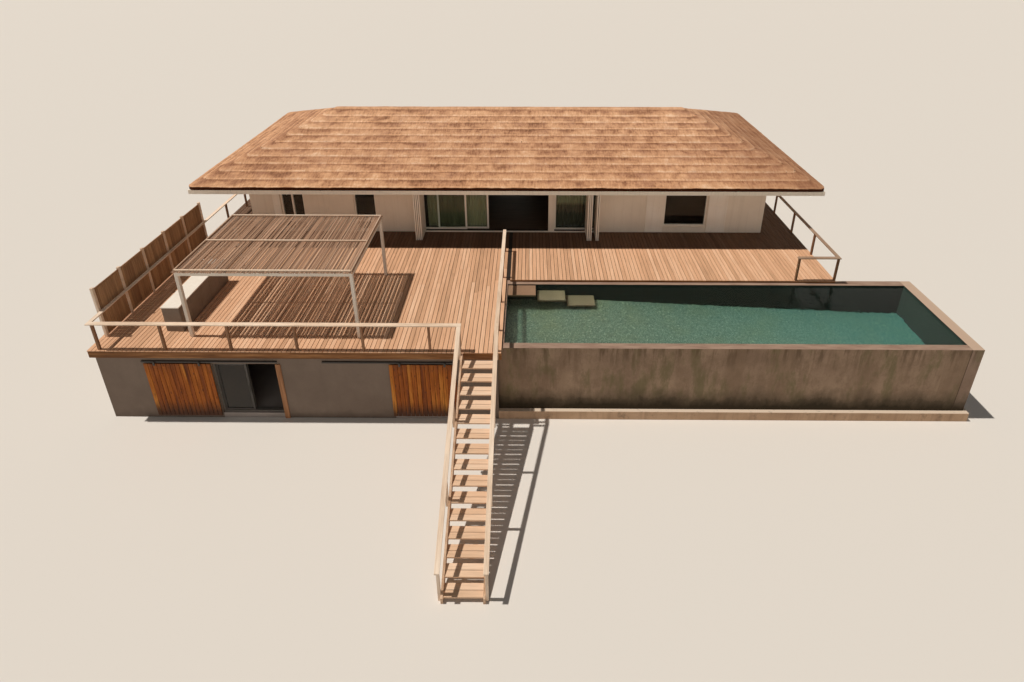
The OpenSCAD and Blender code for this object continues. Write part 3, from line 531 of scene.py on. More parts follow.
stack = Stack(12)
low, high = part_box("pool_deck_boards")
lay_boards(stack, low.x, wall_high.x, low.y, front_face, low.z, high.z)
lay_boards(stack, wall_high.x, high.x, low.y, high.y, low.z, high.z)
stack.make("pool_decking", deck_timber, "deck_timber", stands_for=["pool_deck_boards"], edge=0.003)

# %% [markdown]
# ## Stair treads
# Each open tread is two boards side by side with a gap that lets rain through. They
# are pale, because feet keep them clean.

# %% Make the treads
TREADS = 15
low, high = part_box("stair_treads")
tread_deep, tread_thick = 0.29, 0.05
run = (high.y - low.y - tread_deep) / (TREADS - 1)
rise = (high.z - low.z - tread_thick) / (TREADS - 1)
stack = Stack(13)
for i in range(TREADS):
    y, z = low.y + i * run, low.z + i * rise
    for start in (y, y + tread_deep / 2 + 0.004):
        end = start + tread_deep / 2 - 0.004
        stack.block((low.x, start, z), (high.x, end, z + tread_thick))
stack.make("tread_boards", tread_timber, "deck_timber", stands_for=["stair_treads"], edge=0.004)
print("run", round(run, 3), "rise", round(rise, 3))

# %% [markdown]
# ## Thatch
# The roof is laid in eleven courses of straw. Each course ends in a thick soft lip that
# overlaps the one below. The thin pale line of each lip round the whole roof is a painted
# highlight, and the darker straw just under each lip is painted shade; the rings' tone
# carries both. The hips are rounded, as straw can't turn a sharp corner. The roof is
# lofted from rings of points: each ring is a rectangle with round corners, and the rings
# go under, round and over every lip. Noise pushes each lip in and out.

# %% Shape the thatch
low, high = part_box("thatch_roof")
ridge_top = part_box("ridge_cap")[1].z
COURSES = 11
edge_high, step_high, bed_wide = 0.15, 0.022, 0.42
hip_run = (high.y - low.y - bed_wide) / 2
course_wide = hip_run / COURSES
incline = (high.z - low.z - edge_high + step_high) / hip_run
SIDE_POINTS = (250, 12, 90, 12) * 2


def roof_outline(inset, corner):
    """Points round the roof at a distance in from the eave, with each one's outward way."""
    x0, x1 = low.x + inset, high.x - inset
    y0, y1 = low.y + inset, high.y - inset
    r = min(corner, (y1 - y0) / 2 - 0.004)
    turns = ((x1 - r, y0 + r), (x1 - r, y1 - r), (x0 + r, y1 - r), (x0 + r, y0 + r))
    out = []
    for side, count in enumerate(SIDE_POINTS):
        (ax, ay), (x, y) = turns[side // 2 - 1], turns[side // 2]
        way_x, way_y = ((0, -1), (1, 0), (0, 1), (-1, 0))[side // 2]
        for i in range(count):
            share = i / count
            if side % 2:
                angle = (side // 2 - 1 + share) * math.pi / 2
                way_x, way_y = math.cos(angle), math.sin(angle)
                out.append((x + r * way_x, y + r * way_y, way_x, way_y))
            else:
                run_x, run_y = ax + (x - ax) * share, ay + (y - ay) * share
                out.append((run_x + r * way_x, run_y + r * way_y, way_x, way_y))
    return out


def soft(x, y, z, scale):
    return noise.noise(Vector((x * scale, y * scale, z * scale)))


straw_dice = random.Random(21)
roof_points, roof_tones_and_painted_light = [], []


def roof_ring(inset, height, tone, ragged=0.0, wavy=0.0, course=0, patchy=0.12):
    for x, y, ox, oy in roof_outline(inset, 0.28):
        push = ragged * (0.6 * soft(x, y, course, 2.3) + 0.8 * soft(x, y, course + 9, 9.0))
        push += ragged * straw_dice.uniform(-0.45, 0.45)
        x += ox * push
        y += oy * push
        x, y = min(max(x, low.x), high.x), min(max(y, low.y), high.y)
        z = height + wavy * soft(x, y, course + 5, 1.1) + wavy * 0.6 * soft(x, y, course, 6.0)
        roof_points.append((x, y, z))
        broad, small = soft(x, y, course * 3.1, 0.9), soft(x, y, course * 3.1, 3.4)
        shade = tone + patchy * broad + patchy * small
        roof_tones_and_painted_light.append(min(max(shade, 0.24 if patchy else 0.0), 1.0))


# Painted light: the eave's rings go from tone 0 in the undercut, painted near black as painted
# shade, to a high tone on the lip, a painted highlight
roof_ring(0.04, low.z, 0.0, patchy=0.0)
roof_ring(0.028, low.z + 0.02, 0.0, 0.01, 0.0, patchy=0.0)
roof_ring(0.024, low.z + 0.132, 0.0, 0.018, 0.02, patchy=0.0)
roof_ring(0.026, low.z + 0.14, 0.5, 0.018, 0.02)
roof_ring(0.042, low.z + edge_high - 0.004, 0.9, 0.016, 0.006)
for course in range(COURSES):
    inset = course * course_wide
    lip = low.z + edge_high + inset * incline
    climb = incline - step_high / course_wide
    # Painted light: in each course the lip's rings get a high tone, a painted highlight; the ring
    # tucked under it and the straw just under the next lip get a low one, painted shade
    if course:
        roof_ring(inset - 0.006, lip - step_high - 0.005, 0.34, 0.0, 0.0, course, 0.3)
        roof_ring(inset + 0.006, lip - step_high * 0.5, 0.85, 0.018, 0.003, course, 0.2)
        roof_ring(inset + 0.026, lip - 0.002, 1.0, 0.02, 0.004, course, 0.2)
    for away, tone, patchy in (
        (0.055, 0.95, 0.25), (0.1, 0.62, 0.3), (0.6 * course_wide, 0.52, 0.3),
        (course_wide - 0.11, 0.42, 0.45), (course_wide - 0.035, 0.26, 0.45),
    ):
        roof_ring(inset + away, lip + away * climb - 0.003, tone, 0.0, 0.012, course, patchy)
top = high.z
for away, z, tone in ((0.0, top, 0.3), (0.03, top + 0.04, 0.6), (0.1, top + 0.074, 0.7)):
    roof_ring(hip_run + away, z, tone, 0.012, 0.008, 30)
roof_ring(hip_run + 0.196, ridge_top - 0.006, 0.62, 0.0, 0.006, 30)

ring_size = sum(SIDE_POINTS)
ring_count = len(roof_points) // ring_size
roof_faces = [tuple(range(ring_size - 1, -1, -1))]
for row in range(ring_count - 1):
    for i in range(ring_size):
        a, b = row * ring_size + i, row * ring_size + (i + 1) % ring_size
        roof_faces.append((a, b, b + ring_size, a + ring_size))
roof_faces.append(tuple(range((ring_count - 1) * ring_size, ring_count * ring_size)))
print("roof rings:", ring_count, "of", ring_size, "points, incline", round(incline, 3))

# %% [markdown]
# ## Thatch finish
# Straw shows as fine streaks that run down the slope. On the front and back slopes that
# is one axis, and on the two ends it is the other, so the finish holds both and picks
# one by the way the surface faces. Rain leaves darker, pinker patches. The lips are
# lighter through their tone, as painted highlight, and the straw under the eave is
# painted near black, as painted shade.

# %% Finish the thatch
thatch = Finish("weathered_thatch", 0.92, Specular_IOR_Level=0.2)
facing_x = thatch.math("ABSOLUTE", thatch.face("X"))
facing_y = thatch.math("ABSOLUTE", thatch.face("Y"))
end_slope = thatch.span(thatch.math("SUBTRACT", facing_x, facing_y), -0.08, 0.08)


def down_slope(across, down, detail, rough):
    front = thatch.grain(across, down, down, detail, rough)
    side = thatch.grain(down, across, down, detail, rough, 7.0)
    long_slope = thatch.math("SUBTRACT", 1.0, end_slope)
    return thatch.plus(thatch.by(side, end_slope), thatch.by(front, long_slope))


straw = down_slope(40.0, 6.0, 4.0, 0.7)
bundles = down_slope(13.0, 3.2, 4.0, 0.65)
tufts = thatch.grain(11.0, 11.0, 11.0, 3.0, 0.7, 5.0)
swathes = down_slope(1.4, 4.5, 3.0, 0.6)
weather = thatch.noise(thatch.place, 0.55, 5.0, 0.6)
mould = thatch.grain(1.3, 1.3, 1.3, 7.0, 0.75, 3.0)
level = thatch.plus(thatch.by(thatch.tone(), 0.5), -0.04)
for part, low_share, high_share, most in (
    (straw, 0.32, 0.68, 0.13), (bundles, 0.34, 0.66, 0.17), (swathes, 0.34, 0.66, 0.14),
    (tufts, 0.36, 0.64, 0.1),
):
    level = thatch.plus(level, thatch.span(part, low_share, high_share, 0.0, most))
level = thatch.plus(level, thatch.span(weather, 0.35, 0.65, -0.1, 0.02))
thatch.paint(
    thatch.ramp(
        level, (0.12, (0.16, 0.07, 0.035)), (0.3, (0.38, 0.18, 0.095)), (0.46, (0.6, 0.315, 0.17)),
        (0.62, (0.76, 0.43, 0.24)), (0.84, (0.95, 0.66, 0.44)),
    )
)
thatch.stain((0.42, 0.215, 0.14), mould, 0.5, 0.7, 0.45)
# The straw gets darker towards the right end of the roof
right_end_dark = thatch.plus(thatch.axis("X"), thatch.span(weather, 0.3, 0.7, -1.6, 1.6))
thatch.stain((0.25, 0.11, 0.055), right_end_dark, 7.2, 11.0, 0.55)
up_slope = thatch.past("Z", low.z, high.z)
thatch.shade(
    thatch.ramp(up_slope, (0.1, 1.0), (0.5, (0.93, 0.92, 0.94)), (0.9, (1.07, 1.11, 1.16)))
)
# Painted shade: a tone under 0.2, in the undercut under the eave and on the eave's straws, is
# painted near black
thatch.stain((0.05, 0.012, 0.002), thatch.tone(), 0.2, 0.04)
rough_straw = thatch.plus(thatch.by(straw, 0.4), bundles)
thatch.bump(thatch.plus(rough_straw, thatch.by(tufts, 0.6)), 0.02)

roof_mesh = bpy.data.meshes.new("thatch_courses")
roof_mesh.from_pydata(roof_points, [], roof_faces)
roof_mesh.attributes.new("tone", "FLOAT", "POINT").data.foreach_set("value", roof_tones_and_painted_light)
place("thatch_courses", roof_mesh, thatch, "thatch", stands_for=["thatch_roof", "ridge_cap"])

# %% [markdown]
# ## Loose straw
# Along every lip, and most of all along the eave, the ends of the straw stick out
# unevenly. Each sliver is a thin three-sided spike that starts under the course above
# and lies down the slope.

# %% Scatter the loose straw
stack = Stack(22)
for course in range(COURSES):
    inset = course * course_wide
    lip = low.z + edge_high + inset * incline
    outline = roof_outline(inset, 0.28)
    for i, (x, y, ox, oy) in enumerate(outline):
        if stack.dice.random() < 0.12:
            continue
        side = Vector((-oy, ox, 0.0))
        way = Vector((ox, oy, 0.0))
        spot = Vector((x, y, 0.0)) + side * stack.any(-0.05, 0.05)
        wide = stack.any(0.005, 0.012)
        slant = side * stack.any(-0.03, 0.03)
        out = stack.any(0.0, 0.028)
        if course:
            root = spot - way * stack.any(0.07, 0.16)
            root.z = lip + 0.06 * incline - 0.01
            tip = spot + way * out + slant
            tip.z = lip - stack.any(0.006, 0.022)
            dark = None
        else:
            root = spot - way * 0.06
            root.z = lip - stack.any(0.02, 0.08)
            tip = spot - way * stack.any(0.012, 0.03) + slant
            tip.z = low.z - stack.any(-0.05, 0.022)
            # Painted shade: the eave's straws get a tone near 0, which the thatch finish paints
            # near black
            dark = stack.any(0.0, 0.1)
        tip.x, tip.y = min(max(tip.x, low.x), high.x), min(max(tip.y, low.y), high.y)
        base = [root - side * wide, root + side * wide, root + Vector((0, 0, wide))]
        end = [tip - side * wide * 0.3, tip + side * wide * 0.3, tip + Vector((0, 0, 0.003))]
        stack.loft([[tuple(p) for p in base], [tuple(p) for p in end]], dark)
stack.make("loose_straw", thatch, "thatch")

# %% [markdown]
# ## Boarded shutters
# Each sliding shutter is fifteen upright boards on three ledges, hung by two steel
# straps from rollers on the rail. Both are built the same way from the
# box of the solid that they stand for, and ride on its body, so they slide with it.

# %% Build the shutters
oiled = timber(
    "oiled_shutter_boards", "Z", (0.13, 0.027, 0.002), (0.33, 0.08, 0.005), (0.48, 0.136, 0.011),
    (0.68, 0.265, 0.038), grain=0.5, fibre=30.0, tone_share=0.5,
)
height = oiled.axis("Z")
ragged = oiled.grain(24.0, 24.0, 2.0, 4.0, 0.6)
foot = oiled.plus(height, oiled.span(ragged, 0.3, 0.7, -0.16, 0.16))
oiled.stain((0.045, 0.016, 0.006), foot, 0.82, 0.3, 0.95)
oiled.stain((0.1, 0.04, 0.018), foot, 1.95, 2.35, 0.35)
knot_space = {"Vector": oiled.stretched(7.0, 7.0, 2.6, 4.0), "Scale": 1.0}
knots = oiled.node("ShaderNodeTexVoronoi", knot_space)
oiled.stain((0.1, 0.024, 0.006), knots.outputs["Distance"], 0.21, 0.08, 0.8)


def metal(name, rough, dark, light, dullest, depth):
    finish = Finish(name, rough)
    rubbed = finish.grain(9.0, 9.0, 3.0, 5.0, 0.6)
    finish.paint(finish.mix(rubbed, dark, light))
    finish.set("Roughness", finish.span(rubbed, 0.3, 0.7, 0.32, dullest))
    finish.bump(finish.noise(finish.place, 160.0, 2.0, 0.5), depth)
    return finish


dark_metal = metal(
    "dark_bronze_metal", 0.42, (0.018, 0.015, 0.013), (0.055, 0.044, 0.036), 0.55, 0.0004
)
grey_metal = metal(
    "grey_lacquered_metal", 0.4, (0.11, 0.095, 0.083), (0.18, 0.157, 0.137), 0.5, 0.0003
)

BOARDS = 15
strap_wide, strap_thick = 0.06, 0.012
rail_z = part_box("shutter_rails")[0].z
for name, seed in (("left_shutter", 31), ("right_shutter", 32)):
    low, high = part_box(name)
    top = high.z - 0.075
    wide = high.x - low.x
    pitch = wide / BOARDS
    boards = Stack(seed)
    for i in range(BOARDS):
        left = low.x + i * pitch
        side_tone = 0.95 if i == 0 else None
        near, far = (left + 0.006, low.y + 0.014), (left + pitch - 0.006, low.y + 0.036)
        boards.block((*near, low.z), (*far, top), side_tone)
    for z in (low.z + 0.22, (low.z + top) / 2 - 0.05, top - 0.32):
        boards.block((low.x + 0.03, low.y + 0.0355, z), (high.x - 0.03, high.y, z + 0.1), 0.3)
    boards.make(name + "_boards", oiled, "red_timber", name, stands_for=[name], edge=0.004)
    straps = Stack(seed + 5)
    for left in (low.x + wide * 0.15, low.x + wide * 0.85 - strap_wide):
        straps.block((left, low.y, top - 0.07), (left + strap_wide, low.y + strap_thick, high.z))
        middle = left + strap_wide / 2
        wheel = [(middle, low.y + d, rail_z + 0.022) for d in (0.0125, 0.017, 0.031, 0.0345)]
        straps.tube(wheel, [0.019, 0.0215, 0.0215, 0.019], 20)
        for z in (top - 0.05, top - 0.02):
            bolt = [(middle, low.y - 0.006, z), (middle, low.y + 0.004, z)]
            straps.tube(bolt, 0.009, 8)
    straps.make(name + "_straps", dark_metal, "dark_metal", name, edge=0.001)

# %% [markdown]
# ## Screen boards and canopy poles
# The side screen is upright boards let in between its posts. The canopy is a row of thin
# natural poles. They are nearly straight, no two are equally thick, and every few
# poles one is missing or has shrunk, so a thin stripe of sun comes through.

# %% Fill the screen and lay the canopy
low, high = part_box("screen_panels")
BAYS, POST = 5, 0.08
bay = (high.y - low.y + POST) / BAYS
stack = Stack(41)
for b in range(BAYS):
    start = low.y + b * bay
    end = start + bay - POST
    for z in (low.z, high.z - 0.07):
        stack.block((low.x, start, z), (high.x, end, z + 0.07))
    boards = 8
    pitch = (end - start) / boards
    for i in range(boards):
        y = start + i * pitch
        near, far = (low.x + 0.004, y + 0.003), (high.x - 0.004, y + pitch - 0.003)
        stack.block((*near, low.z + 0.07), (*far, high.z - 0.07))
stack.make("screen_boards", screen_timber, "edge_timber", stands_for=["screen_panels"], edge=0.002)

low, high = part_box("pergola_canopy")
stack = Stack(42)
x = low.x
until_gap = 6
while x < high.x - 0.04:
    thick = stack.any(0.0115, 0.0185)
    lean = stack.any(-0.006, 0.006)
    lift = stack.any(low.z + thick, high.z - thick)
    path, sizes = [], []
    for i in range(7):
        share = i / 6
        bow = 0.004 * math.sin(share * math.pi * stack.any(0.8, 1.6))
        y = low.y + (high.y - low.y) * share
        y += stack.any(0.0, 0.03) if i == 0 else 0.0
        y -= stack.any(0.0, 0.03) if i == 6 else 0.0
        middle = x + thick + lean * (share - 0.5) + bow
        path.append((min(max(middle, low.x + thick), high.x - thick), y, lift))
        sizes.append(thick * (1.0 - 0.15 * share))
    stack.tube(path, sizes, 8)
    until_gap -= 1
    x += 2 * thick + stack.any(-0.003, 0.001)
    if until_gap == 0:
        x += stack.any(0.016, 0.036)
        until_gap = stack.dice.choice((3, 4, 5, 6, 8))
stack.make("canopy_poles", reed_poles, "reed", stands_for=["pergola_canopy"], smooth=True)

# %% [markdown]
# ## Plaster, stone, concrete and paint
# These finishes are clouds of two close colours, fine pores, and then what time and
# water have done: streaks that run down, a dark band of moss at the foot of the pool
# wall, and olive patches. Where a rule is about height, the finish reads the height of
# the point itself.


# %% Make the mineral finishes
def mineral(name, dark, light, rough=0.88, cloud=1.1, pore=0.12, depth=0.0015):
    finish = Finish(name, rough, Specular_IOR_Level=0.3)
    clouds = finish.noise(finish.place, cloud, 6.0, 0.6)
    pores = finish.noise(finish.place, 70.0, 4.0, 0.7)
    finish.paint(finish.mix(finish.span(clouds, 0.32, 0.68), dark, light))
    finish.shade(finish.ramp(pores, (0.32, 1.0 - pore), (0.55, 1.0)))
    finish.bump(pores, depth)
    return finish


def streaks(finish, colour, most, fine=9.0, low=0.5, high=0.75):
    """Runs that hang down, as rain leaves them."""
    runs = finish.grain(fine, fine, 0.35, 5.0, 0.62)
    finish.stain(colour, runs, low, high, most)


plaster = mineral("taupe_plaster", (0.186, 0.137, 0.106), (0.237, 0.178, 0.14), cloud=0.7)
streaks(plaster, (0.16, 0.12, 0.092), 0.3, fine=2.5)
ragged = plaster.span(plaster.noise(plaster.place, 3.0, 4.0), 0.3, 0.7, -0.15, 0.15)
splash = plaster.plus(plaster.axis("Z"), ragged)
plaster.stain((0.11, 0.082, 0.063), splash, 0.4, 0.02, 0.6)

# Painted shade: plaster faces that look up are painted near black, for the shade seen through the
# gaps of the deck
plaster.paint((0.022, 0.016, 0.012), plaster.looks_up())

wall = mineral(
    "stained_pool_concrete", (0.267, 0.178, 0.12), (0.425, 0.295, 0.2), cloud=0.6, pore=0.2
)
blotches = wall.grain(1.9, 1.9, 1.2, 7.0, 0.72, 4.0)
wall.stain((0.19, 0.125, 0.08), blotches, 0.46, 0.62, 0.55)
lifts = wall.grain(0.9, 0.9, 0.05, 3.0, 0.6, 2.0)
wall.stain((0.2, 0.13, 0.08), lifts, 0.48, 0.6, 0.5)
where = wall.grain(0.8, 0.8, 0.5, 4.0, 0.6, 21.0)
runs = wall.grain(3.2, 3.2, 0.45, 4.0, 0.6)
run_share = wall.by(wall.span(runs, 0.48, 0.66), wall.span(where, 0.44, 0.6))
wall.paint((0.17, 0.105, 0.065), wall.by(run_share, 0.55))
streaks(wall, (0.55, 0.4, 0.28), 0.25, fine=4.0, low=0.58, high=0.75)
olive = wall.grain(1.3, 1.3, 0.42, 6.0, 0.68, 9.0)
wall.stain((0.155, 0.13, 0.06), olive, 0.51, 0.63, 0.7)
ground_up = wall.axis("Z")
edge_noise = wall.grain(1.6, 1.6, 1.0, 5.0, 0.65)
moss_line = wall.plus(ground_up, wall.span(edge_noise, 0.3, 0.7, -0.16, 0.2))
wall.stain((0.09, 0.064, 0.039), moss_line, 1.26, 0.74, 0.85)
wall.stain((0.021, 0.0135, 0.0045), moss_line, 0.86, 0.48, 0.95)
drips = wall.grain(5.0, 5.0, 0.5, 5.0, 0.7)
lip_zone = wall.span(ground_up, 1.9, 2.75)
drip_share = wall.by(wall.span(drips, 0.49, 0.6), lip_zone)
wall.paint((0.11, 0.07, 0.04), wall.by(drip_share, 0.7))
END_JOINT = 13.57
end_joint = wall.math("SUBTRACT", wall.axis("X"), END_JOINT)
end_joint = wall.math("ABSOLUTE", end_joint)
past_joint = wall.past("X", END_JOINT - 0.01, END_JOINT + 0.01)
wall.tint(past_joint, (1.16, 1.18, 1.3))
wall.stain((0.05, 0.03, 0.018), end_joint, 0.016, 0.008, 0.75)
on_top = wall.by(wall.looks_up(), wall.span(ground_up, 2.7, 2.8))
coping = wall.ramp(
    wall.grain(1.6, 9.0, 3.0, 5.0, 0.6), (0.3, (0.26, 0.165, 0.12)), (0.7, (0.4, 0.28, 0.21)),
)
coping = wall.mix(past_joint, coping, (0.53, 0.385, 0.285))
wall.paint(coping, on_top)

footing = mineral("footing_concrete", (0.5, 0.325, 0.205), (0.66, 0.45, 0.295), pore=0.2)
streaks(footing, (0.3, 0.19, 0.12), 0.6, fine=5.0)
footing.paint((0.68, 0.55, 0.43), footing.looks_up())
algae = footing.grain(3.0, 8.0, 3.0, 5.0, 0.7)
footing.stain((0.12, 0.09, 0.06), algae, 0.58, 0.72, 0.6)

white = mineral("white_painted_wall", (0.8, 0.69, 0.57), (0.88, 0.78, 0.655), cloud=0.5, pore=0.06)
streaks(white, (0.6, 0.5, 0.4), 0.3, fine=8.0, low=0.52, high=0.8)
white.set("Roughness", 0.7)
# Painted shade: the rooms' sides of the walls are painted near black, for the dark inside the
# rooms, so that the windows look deep
ROOM_SIDES = (("Y", 2.02, 2.04), ("Y", 8.36, 8.34), ("X", -12.1, -12.08), ("X", 9.52, 9.5))
indoors = 1.0
for letter, outer, inner in ROOM_SIDES:
    indoors = white.by(indoors, white.past(letter, outer, inner))
white.paint((0.045, 0.03, 0.021), indoors)

white_frames = mineral(
    "white_lacquered_frames", (0.89, 0.795, 0.68), (0.93, 0.855, 0.76),
    0.45, pore=0.04, depth=0.0004,
)
# Painted light: the eave board is painted lighter and warmer than the other frames, for the bright
# light on it
EAVE_Z = 5.385
eave_painted_light = white_frames.past("Z", EAVE_Z, EAVE_Z + 0.01, 0.0, 0.85)
white_frames.paint((0.98, 0.87, 0.73), eave_painted_light)
streaks(white_frames, (0.62, 0.54, 0.45), 0.3, fine=16.0)
white_steel = mineral(
    "white_painted_steel", (0.76, 0.67, 0.57), (0.84, 0.76, 0.66), 0.4, pore=0.04, depth=0.0003
)
streaks(white_steel, (0.45, 0.33, 0.25), 0.35, fine=20.0, low=0.58)
counter_grey = mineral("counter_render", (0.21, 0.16, 0.125), (0.27, 0.21, 0.165), cloud=2.0)
counter_stone = mineral(
    "counter_stone", (0.86, 0.79, 0.69), (0.93, 0.87, 0.78),
    0.35, cloud=6.0, pore=0.1, depth=0.0003,
)
floor_stone = mineral("grey_floor_stone", (0.3, 0.255, 0.23), (0.38, 0.325, 0.295), 0.6)
room_floor = timber("dark_room_floor", "X", (0.055, 0.032, 0.019), (0.1, 0.058, 0.035), rough=0.5)
print("finishes so far:", len(bpy.data.materials))

# %% [markdown]
# ## The pool lining
# The lining is a mosaic of glass tiles, 25 mm square, in teal and green. Space is cut
# into small cells, and each cell gets a shade of its own, so the mosaic turns
# corners by itself. Thin grout lines are left out on the axis that the surface
# faces, since there a cell's edge would cover the whole face.

# %% Make the mosaic and the step finish
CELL = 40.0


def mosaic(finish, dark, light):
    grid = finish.stretched(CELL, CELL, CELL)
    snapped = finish.node("ShaderNodeVectorMath", {0: grid}, operation="FLOOR").outputs[0]
    shade = finish.node("ShaderNodeTexWhiteNoise", {"Vector": snapped}, noise_dimensions="3D")
    finish.paint(finish.mix(shade.outputs["Value"], dark, light))
    joint = 0.0
    for letter in "XYZ":
        part = finish.math("FRACT", finish.axis(letter, grid))
        off = finish.math("ABSOLUTE", finish.math("SUBTRACT", part, 0.5))
        line = finish.span(off, 0.43, 0.47)
        sideways = finish.span(finish.math("ABSOLUTE", finish.face(letter)), 0.9, 0.6)
        joint = finish.math("MAXIMUM", joint, finish.by(line, sideways))
    finish.paint((0.3, 0.32, 0.27), finish.by(joint, 0.35))
    finish.bump(joint, -0.0008)


lining = Finish("teal_mosaic", 0.3)
mosaic(lining, (0.043, 0.064, 0.047), (0.176, 0.18, 0.132))
slime = lining.noise(lining.place, 0.8, 5.0, 0.65)
lining.stain((0.15, 0.135, 0.07), slime, 0.45, 0.7, 0.55)
speckle = lining.grain(16.0, 16.0, 16.0, 3.0, 0.75)
lining.shade(lining.ramp(speckle, (0.34, 0.62), (0.52, 0.95), (0.68, 1.7)))
deeper = lining.past("X", 2.0, 13.5, 0.0, 0.6)
lining.paint((0.022, 0.15, 0.14), deeper)

step_stone = mineral("pool_step_stone", (0.26, 0.155, 0.095), (0.34, 0.21, 0.13), pore=0.2)
under = step_stone.past("Z", 2.76, 2.7)
step_stone.paint((0.165, 0.102, 0.064), step_stone.by(under, 0.85))

# The walls are lined inside the basin, and bare concrete outside
basin_low, basin_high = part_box("pool_floor")
walls_inside = 1.0
for letter, a, b in (("X", basin_low.x, basin_high.x), ("Y", basin_low.y, basin_high.y)):
    for outer, inner in ((a - 0.012, a - 0.004), (b + 0.012, b + 0.004)):
        walls_inside = wall.by(walls_inside, wall.past(letter, outer, inner))
below_lip = wall.span(ground_up, 2.832, 2.824)
walls_inside = wall.by(walls_inside, below_lip)
tile_tone = wall.noise(wall.place, 60.0, 2.0, 0.6)
tiles = wall.mix(tile_tone, (0.022, 0.036, 0.029), (0.036, 0.053, 0.045))
# Painted shade: tiles on faces that look to the front or back are painted darker, for the back
# wall's inner face that lies in shadow
front_or_back = wall.math("ABSOLUTE", wall.face("Y"))
looks_front = wall.span(front_or_back, 0.5, 0.8)
painted_shade_tiles = wall.mix(tile_tone, (0.012, 0.017, 0.015), (0.022, 0.027, 0.025))
tiles = wall.mix(looks_front, tiles, painted_shade_tiles)
wall.paint(tiles, walls_inside)
print("basin:", [tuple(round(v, 2) for v in corner) for corner in (basin_low, basin_high)])

# %% [markdown]
# ## Glass and water
# Glass and water bend what the eye sees through them. A lamp's light would also be bent
# into bright caustics, which are slow and noisy, so shadow rays pass straight through a
# tinted layer instead. The windows have clear glass and the garden doors smoked glass.
# The water is one thin rippled sheet across the basin, 10 mm under the first step.


# %% Make clear finishes and fill the pool
def clear(name, tint, shadow_tint, ior, rough):
    finish = Finish(name, rough)
    finish.paint(tint)
    finish.shader.inputs["Transmission Weight"].default_value = 1.0
    finish.shader.inputs["IOR"].default_value = ior
    through = finish.node("ShaderNodeBsdfTransparent", {"Color": shadow_tint}).outputs[0]
    shadow_ray = finish.node("ShaderNodeLightPath").outputs["Is Shadow Ray"]
    inputs = {0: shadow_ray, 1: finish.shader.outputs[0], 2: through}
    both = finish.node("ShaderNodeMixShader", inputs)
    finish.feed(finish.out.inputs["Surface"], both.outputs[0])
    return finish


def pane(name, tint, shadow_tint, ior):
    glass = clear(name, tint, shadow_tint, ior, 0.02)
    dust = glass.noise(glass.place, 2.5, 5.0, 0.7)
    glass.set("Roughness", glass.span(dust, 0.4, 0.8, 0.0, 0.03))
    glass.bump(glass.noise(glass.place, 0.5, 0.0, 0.4), 0.001, 0.2)
    return glass


window_glass = pane("window_glass", (0.66, 0.71, 0.69), (0.6, 0.62, 0.6), 1.27)
garden_glass = pane("smoked_garden_glass", (0.25, 0.19, 0.13), (0.34, 0.3, 0.26), 1.33)

pool_water = clear("pool_water", (0.66, 0.88, 0.84), (0.56, 0.78, 0.75), 1.2, 0.0)
ripple = pool_water.grain(2.6, 3.4, 1.0, 3.0, 0.5, warp=0.6)
pool_water.bump(ripple, 0.03, 0.5)

WATER_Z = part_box("pool_steps")[1].z - 0.01
RIPPLE = 0.0025
along, across = 147, 30
water_points = []
for j in range(across + 1):
    for i in range(along + 1):
        x = basin_low.x + (basin_high.x - basin_low.x) * i / along
        y = basin_low.y + (basin_high.y - basin_low.y) * j / across
        water_points.append((x, y, WATER_Z + RIPPLE * soft(x, y, 2.0, 1.7)))
water_mesh = smooth_mesh("water_surface", water_points, along + 1)
place("water_surface", water_mesh, pool_water, "pool_lining")

# %% [markdown]
# ## Dress the solids
# What is left of the model is rigid and already has its right shape. It keeps its
# solids and gets its finishes and soft edges here.

# %% Give the solids their finishes
dress(plaster, "lower_front_walls", "lower_lintels", "lower_side_walls", "lower_back_wall")
dress(plaster, "terrace_slab", "pool_deck_slab", "retaining_walls")
dress(floor_stone, "lower_floor", edge=0.004)
dress(grey_metal, "garden_door_frames", edge=0.002)
dress(dark_metal, "garden_door_leaf", "shutter_rails", edge=0.002)
dress(jamb_timber, "door_jamb", edge=0.004)
dress(garden_glass, "garden_fixed_glass", "garden_door_glass")
dress(window_glass, "window_glass", "sliding_glass")
dress(edge_timber, "terrace_edge_boards", "pool_deck_edge", edge=0.004)
dress(post_timber, "railing_posts", edge=0.005)
dress(pale, "railing_rails", "stair_handrails", edge=0.006)
dress(pale, "screen_posts", "stair_posts", "pergola_batten", edge=0.004)
dress(white_steel, "pergola_posts", "pergola_beams", edge=0.005)
dress(counter_grey, "kitchen_counter", edge=0.004)
dress(counter_stone, "kitchen_worktop", edge=0.005)
dress(string_timber, "stair_strings", edge=0.005)
dress(wall, "pool_front_wall", "pool_back_wall", "pool_side_walls", edge=0.008)
dress(lining, "pool_floor")
dress(step_stone, "pool_steps", edge=0.008)
dress(footing, "pool_footing", edge=0.012)
dress(room_floor, "upper_floor")
dress(white, "front_walls", "bay_lintel", "side_walls", "back_wall", "soffit")
dress(white_frames, "window_frames", "sliding_frames", "folded_shutters", edge=0.003)
dress(white_frames, "eave_boards", edge=0.004)
print("dressed", sum(not n.hide_render for n in nodes.values()), "solids")

# %% [markdown]
# ## Curtains
# Two curtains hang inside the glazed bay from a rail behind the lintel. A pleated
# curtain is a flat cloth pushed together: the cloth's cut width is the length along its
# pleats.

